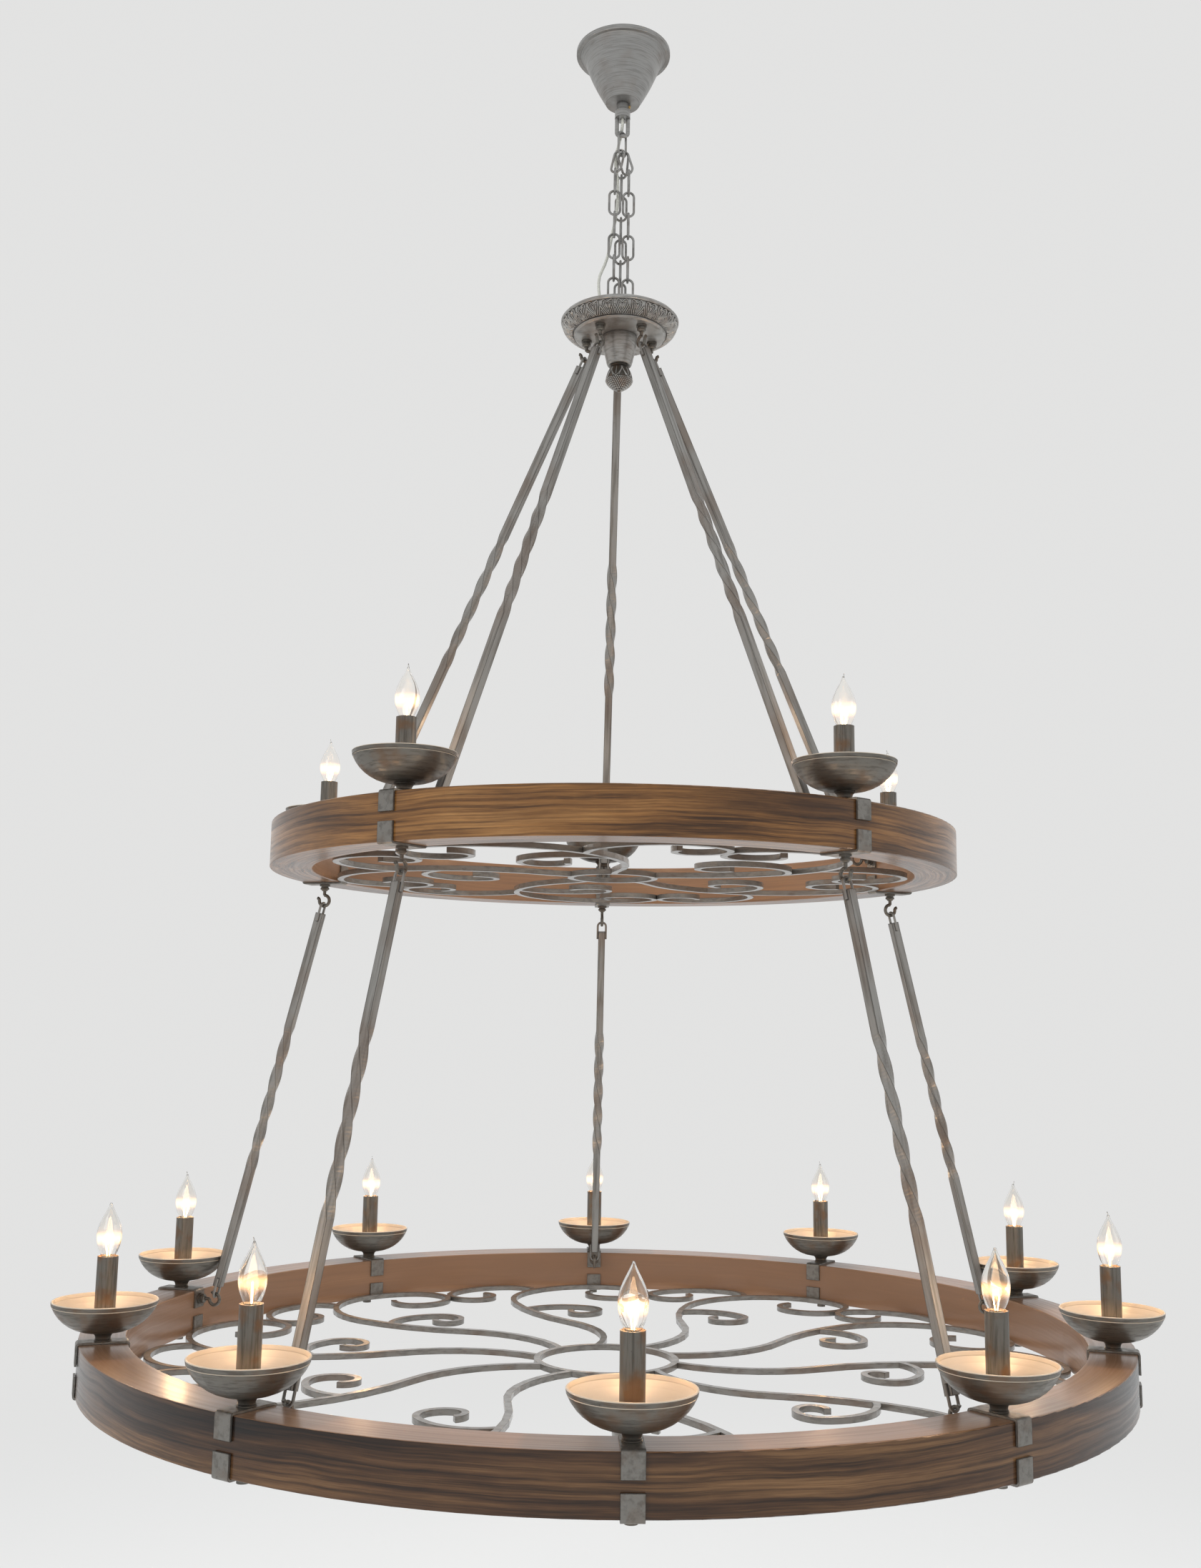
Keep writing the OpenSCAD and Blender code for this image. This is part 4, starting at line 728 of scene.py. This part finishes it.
def make_filament(n, place):
    """Two lead wires and a glowing zigzag between them, as one bent wire."""
    start = place + Vector((0, 0, BASE_LENGTH))
    lift, half, top = 18 * MM, 3.6 * MM, 9 * MM
    points = [(-1.5 * MM, 4 * MM), (-half, lift), (-half * 0.8, lift + top), (-half * 0.3, lift + 3 * MM),
              (0, lift + top), (half * 0.3, lift + 3 * MM), (half * 0.8, lift + top), (half, lift),
              (1.5 * MM, 4 * MM)]
    bm = bmesh.new()
    ring = bmesh.ops.create_circle(bm, segments=6, radius=WIRE_R)["verts"]
    bmesh.ops.translate(bm, verts=ring, vec=start + Vector((points[0][0], 0, points[0][1])))
    face = bm.faces.new(ring)
    for a, b in zip(points, points[1:]):
        new = bmesh.ops.extrude_face_region(bm, geom=[face])["geom"]
        face = next(g for g in new if isinstance(g, bmesh.types.BMFace))
        bmesh.ops.translate(bm, verts=face.verts, vec=(b[0] - a[0], 0, b[1] - a[1]))
    turn = Matrix.Rotation(FILAMENT_TURN * n, 4, "Z")
    bmesh.ops.rotate(bm, verts=bm.verts, cent=start, matrix=turn)
    return object_from(f"filament_{n}", bm, filament_glow)


bulb_light = bpy.data.lights.new("bulb_light", "POINT")
bulb_light.energy, bulb_light.shadow_soft_size, bulb_light.color = 0.8, 0.008, (1.0, 0.64, 0.36)
for n in range(1, 16):
    low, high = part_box(f"bulb_{n}")
    place = Vector(((low[0] + high[0]) / 2, (low[1] + high[1]) / 2, low[2]))
    glass = make_envelope(n, place, high[2] - low[2], n not in SMOOTH_TIPS)
    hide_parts(f"bulb_{n}")
    pieces = [glass, make_base(n, place), make_filament(n, place)]
    for piece in pieces:
        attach(piece, f"bulb_{n}")
    lamp = bpy.data.objects.new(f"bulb_light_{n}", bulb_light)
    lamp.location = place + Vector((0, 0, BASE_LENGTH + LAMP_HEIGHT))
    lamp.visible_camera = lamp.visible_transmission = False
    lamp.parent = glass
    bpy.context.scene.collection.objects.link(lamp)
print("bulbs:", n)

# %% [markdown]
# ## Castings on the hub
# The dish carries a frieze of leaves: heart-shaped tulips and nested pointed arches between their
# feet. What the eye reads is their raised outlines, so each outline is a ridge: a path on the
# dish's side, with a foot on either side of it and a crest above it. Under each ridge lies a wider
# flat dark band, as glaze in the corners and painted shade beside the ridge.

# %% Ridges on a round casting
def smooth_path(points, steps=3):
    """A Catmull-Rom curve through points of (across, along)."""
    ends = [points[0]] + list(points) + [points[-1]]
    path = []
    for a, b, c, d in zip(ends, ends[1:], ends[2:], ends[3:]):
        for i in range(steps):
            t = i / steps
            path.append(tuple(0.5 * (2 * q + (r - p) * t + (2 * p - 5 * q + 4 * r - s) * t ** 2
                                     + (3 * q - p - 3 * r + s) * t ** 3) for p, q, r, s in zip(a, b, c, d)))
    return path + [points[-1]]


def on_side(side, azimuth, across, along, out):
    """A place out from a casting's side, across an azimuth and along its profile."""
    r, z, out_r, out_z = side(along)
    turn = azimuth + across / r
    r, z = r + out * out_r, z + out * out_z
    return Vector((r * math.sin(turn), -r * math.cos(turn), z))


def add_ridge(bm, side, length, azimuth, points, half, crest, foot):
    """A ridge along a path. Its foot is at height foot and its crest at height crest."""
    path = smooth_path(points)
    rows = []
    for i, (across, along) in enumerate(path):
        ahead, back = path[min(i + 1, len(path) - 1)], path[max(i - 1, 0)]
        way = Vector((ahead[0] - back[0], (ahead[1] - back[1]) * length)).normalized()
        aside = Vector((-way.y, way.x / length))
        row = []
        for k, out in ((-1, foot), (-0.4, crest), (0.4, crest), (1, foot)):
            shift = aside * k * half
            row.append(bm.verts.new(on_side(side, azimuth, across + shift.x, along + shift.y, out)))
        rows.append(row)
    for a, b in zip(rows, rows[1:]):
        for k, other in zip(range(4), (1, 2, 3, 0)):
            bm.faces.new((a[k], a[other], b[other], b[k]))
    bm.faces.new(rows[0])
    bm.faces.new(rows[-1])


def mirrored(points):
    """A path from one end to the middle, and on to the other end."""
    return list(points) + [(-across, along) for across, along in reversed(points[:-1])]


BAND_CREST = 0.14 * MM


def add_casting(name, side, length, copies, start, paths, crest):
    """The ridges of every path, copied round the axis, with a dark band of glaze and painted shade
    beside them. A path is its turn as a share of one copy, half its ridge's width, and its points."""
    kinds = (("glaze_and_shade", glaze_and_shade_band, 1.6, -0.10 * MM), ("ridges", ridge_paint, 1.0, -0.25 * MM))
    for label, material, wider, low in kinds:
        bm = bmesh.new()
        for i in range(copies):
            for turn, half, points in paths:
                azimuth = start + math.tau * (i + turn) / copies
                high = BAND_CREST if material == glaze_and_shade_band else crest
                add_ridge(bm, side, length, azimuth, points, wider * half, high, low)
        piece = object_from(f"{name}_{label}", bm, material)
        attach(piece, HUB)
        print(name, label, "faces:", len(piece.data.polygons))


EVEN = (150, 150, 150)
# The band's dark stands for glaze and painted shade beside the ridges.
BAND_GLAZE_AND_SHADE = (0.12, 0.108, 0.092, 1)
RIDGE_TONE = (0.52, 0.51, 0.49, 1)
glaze_and_shade_band = iron_paint("glaze_and_shade_band", EVEN, 60, 0.5, 0.5, edge=0.0002, pewter=BAND_GLAZE_AND_SHADE)
ridge_paint = iron_paint("ridge_paint", EVEN, 60, 0.3, 0.25, edge=0.0002, pewter=RIDGE_TONE)

# %% [markdown]
# The dish's leaves are drawn once, as half outlines in millimetres across and in shares of the
# dish's height. They are mirrored to a whole leaf and copied 24 times round the axis. Bold ridges
# are the outer outlines and fine ones the lines inside them.

# %% Dish frieze
dish_low, dish_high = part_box("hub_dish")
DISH_TOP, DISH_FOOT = dish_high[2], dish_low[2]
BEAD_R, RIM_R, BEAD = 76.5 * MM, 99 * MM, 3 * MM
LOW_R, HIGH_R, RIM_DROP = BEAD_R + 2 * MM, RIM_R - 4 * MM, 5 * MM
LEAVES, FRIEZE_HEIGHT, FRIEZE_CREST = 24, 25 * MM, 2.0 * MM
BOLD, FINE = 0.85 * MM, 0.55 * MM


def dish_side(share):
    """Radius, height and outward direction on the dish, from its bead to its rim."""
    angle = math.radians(90 * (1 - share))
    return (LOW_R + (HIGH_R - LOW_R) * math.cos(angle),
            DISH_TOP - RIM_DROP - (DISH_TOP - DISH_FOOT - RIM_DROP - 2 * BEAD) * math.sin(angle),
            math.cos(angle), -math.sin(angle))


def in_mm(points):
    """Points whose first number is in millimetres, in metres."""
    return [(across * MM, along) for across, along in points]


TULIP = in_mm([(0.9, 0.02), (2.0, 0.16), (4.4, 0.34), (7.0, 0.52), (8.7, 0.70), (9.0, 0.86), (7.6, 0.97),
               (5.0, 0.96), (2.4, 0.88), (0.0, 0.80)])
TULIP_INSIDE = in_mm([(0.0, 0.20), (2.4, 0.40), (4.8, 0.58), (5.6, 0.74), (4.6, 0.85), (2.6, 0.78),
                      (0.0, 0.66)])
RIB = in_mm([(0.0, 0.22), (0.0, 0.45), (0.0, 0.66)])
ARCH = in_mm([(5.6, 0.02), (5.0, 0.18), (3.4, 0.38), (1.6, 0.54), (0.0, 0.66)])
ARCH_INSIDE = in_mm([(2.6, 0.02), (2.1, 0.16), (1.1, 0.30), (0.0, 0.42)])
add_casting("dish_frieze", dish_side, FRIEZE_HEIGHT, LEAVES, 0.0,
            [(0, BOLD, mirrored(TULIP)), (0, FINE, mirrored(TULIP_INSIDE)), (0, FINE, RIB),
             (0.5, BOLD, mirrored(ARCH)), (0.5, FINE, mirrored(ARCH_INSIDE))], FRIEZE_CREST)

# %% [markdown]
# The finial's upper half is a calyx. Its petals hang down from the neck to a point, and a smaller
# one shows in each gap. They are ridges again, on the finial's own flare.

# %% Finial calyx
FINIAL_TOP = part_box("hub_cone")[0][2] - 5 * MM
CALYX_HEIGHT, NECK, FLARE = 19.7 * MM, 15 * MM, 21.2 * MM
PETALS, FIRST_PETAL, PETAL_CREST = 6, math.radians(-17), 1.3 * MM
CALYX_OUT = (0.96, -0.28)


def calyx_side(share):
    """Radius, height and outward direction on the finial's flare, from its neck down."""
    return (NECK + (FLARE - NECK) * math.sin(math.pi / 2 * share), FINIAL_TOP - share * CALYX_HEIGHT,
            *CALYX_OUT)


PETAL = in_mm([(7.2, 0.03), (8.2, 0.25), (7.4, 0.50), (5.0, 0.75), (2.4, 0.92), (0.0, 0.99)])
PETAL_RIB = in_mm([(0.0, 0.05), (0.0, 0.45), (0.0, 0.85)])
GAP_PETAL = in_mm([(6.6, 0.97), (4.6, 0.75), (2.2, 0.48), (0.0, 0.26)])
add_casting("finial_calyx", calyx_side, CALYX_HEIGHT, PETALS, FIRST_PETAL,
            [(0, BOLD, mirrored(PETAL)), (0, FINE, PETAL_RIB), (0.5, BOLD, mirrored(GAP_PETAL))], PETAL_CREST)

# %% [markdown]
# Below the calyx hangs a pine cone of small studs in rows. Each stud is a block with a smaller top,
# stood square on the cone, and each row is shifted by half a stud from the one above.

# %% Finial studs
CONE_TOP, CONE_R, CONE_LENGTH = FINIAL_TOP - CALYX_HEIGHT - 1 * MM, 22.2 * MM, 20.3 * MM
STUD_ROWS, STUD_PITCH, FEWEST_STUDS = 8, 3.5 * MM, 6
STUD_FOOT, STUD_TOP = (-0.3 * MM, 1.35 * MM), (1.0 * MM, 0.75 * MM)
BLUNTNESS = 1.8


def cone_side(share):
    """Radius, height and outward direction on the blunt cone, from its top down."""
    low = max(share, 0)
    lean = math.atan2(CONE_R * BLUNTNESS * low ** (BLUNTNESS - 1), CONE_LENGTH)
    return CONE_R * (1 - low ** BLUNTNESS), CONE_TOP - share * CONE_LENGTH, math.cos(lean), -math.sin(lean)


bm = bmesh.new()
studs = 0
for row in range(STUD_ROWS):
    along = (row + 0.45) / STUD_ROWS * 0.93
    r = cone_side(along)[0]
    count = max(FEWEST_STUDS, round(math.tau * r / STUD_PITCH))
    for i in range(count):
        azimuth = math.tau * (i + 0.5 * (row % 2)) / count
        corners = []
        for out, size in (STUD_FOOT, STUD_TOP):
            for x, y in ((-1, -1), (1, -1), (1, 1), (-1, 1)):
                place = on_side(cone_side, azimuth, x * size, along + y * 0.8 * size / CONE_LENGTH, out)
                corners.append(bm.verts.new(place))
        bm.faces.new(corners[:4])
        bm.faces.new(corners[4:])
        for a, b in zip(range(4), (1, 2, 3, 0)):
            bm.faces.new((corners[a], corners[b], corners[b + 4], corners[a + 4]))
        studs += 1
cone_studs = object_from("finial_studs", bm, ridge_paint, smooth=False)
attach(cone_studs, HUB)
print("finial studs:", studs)
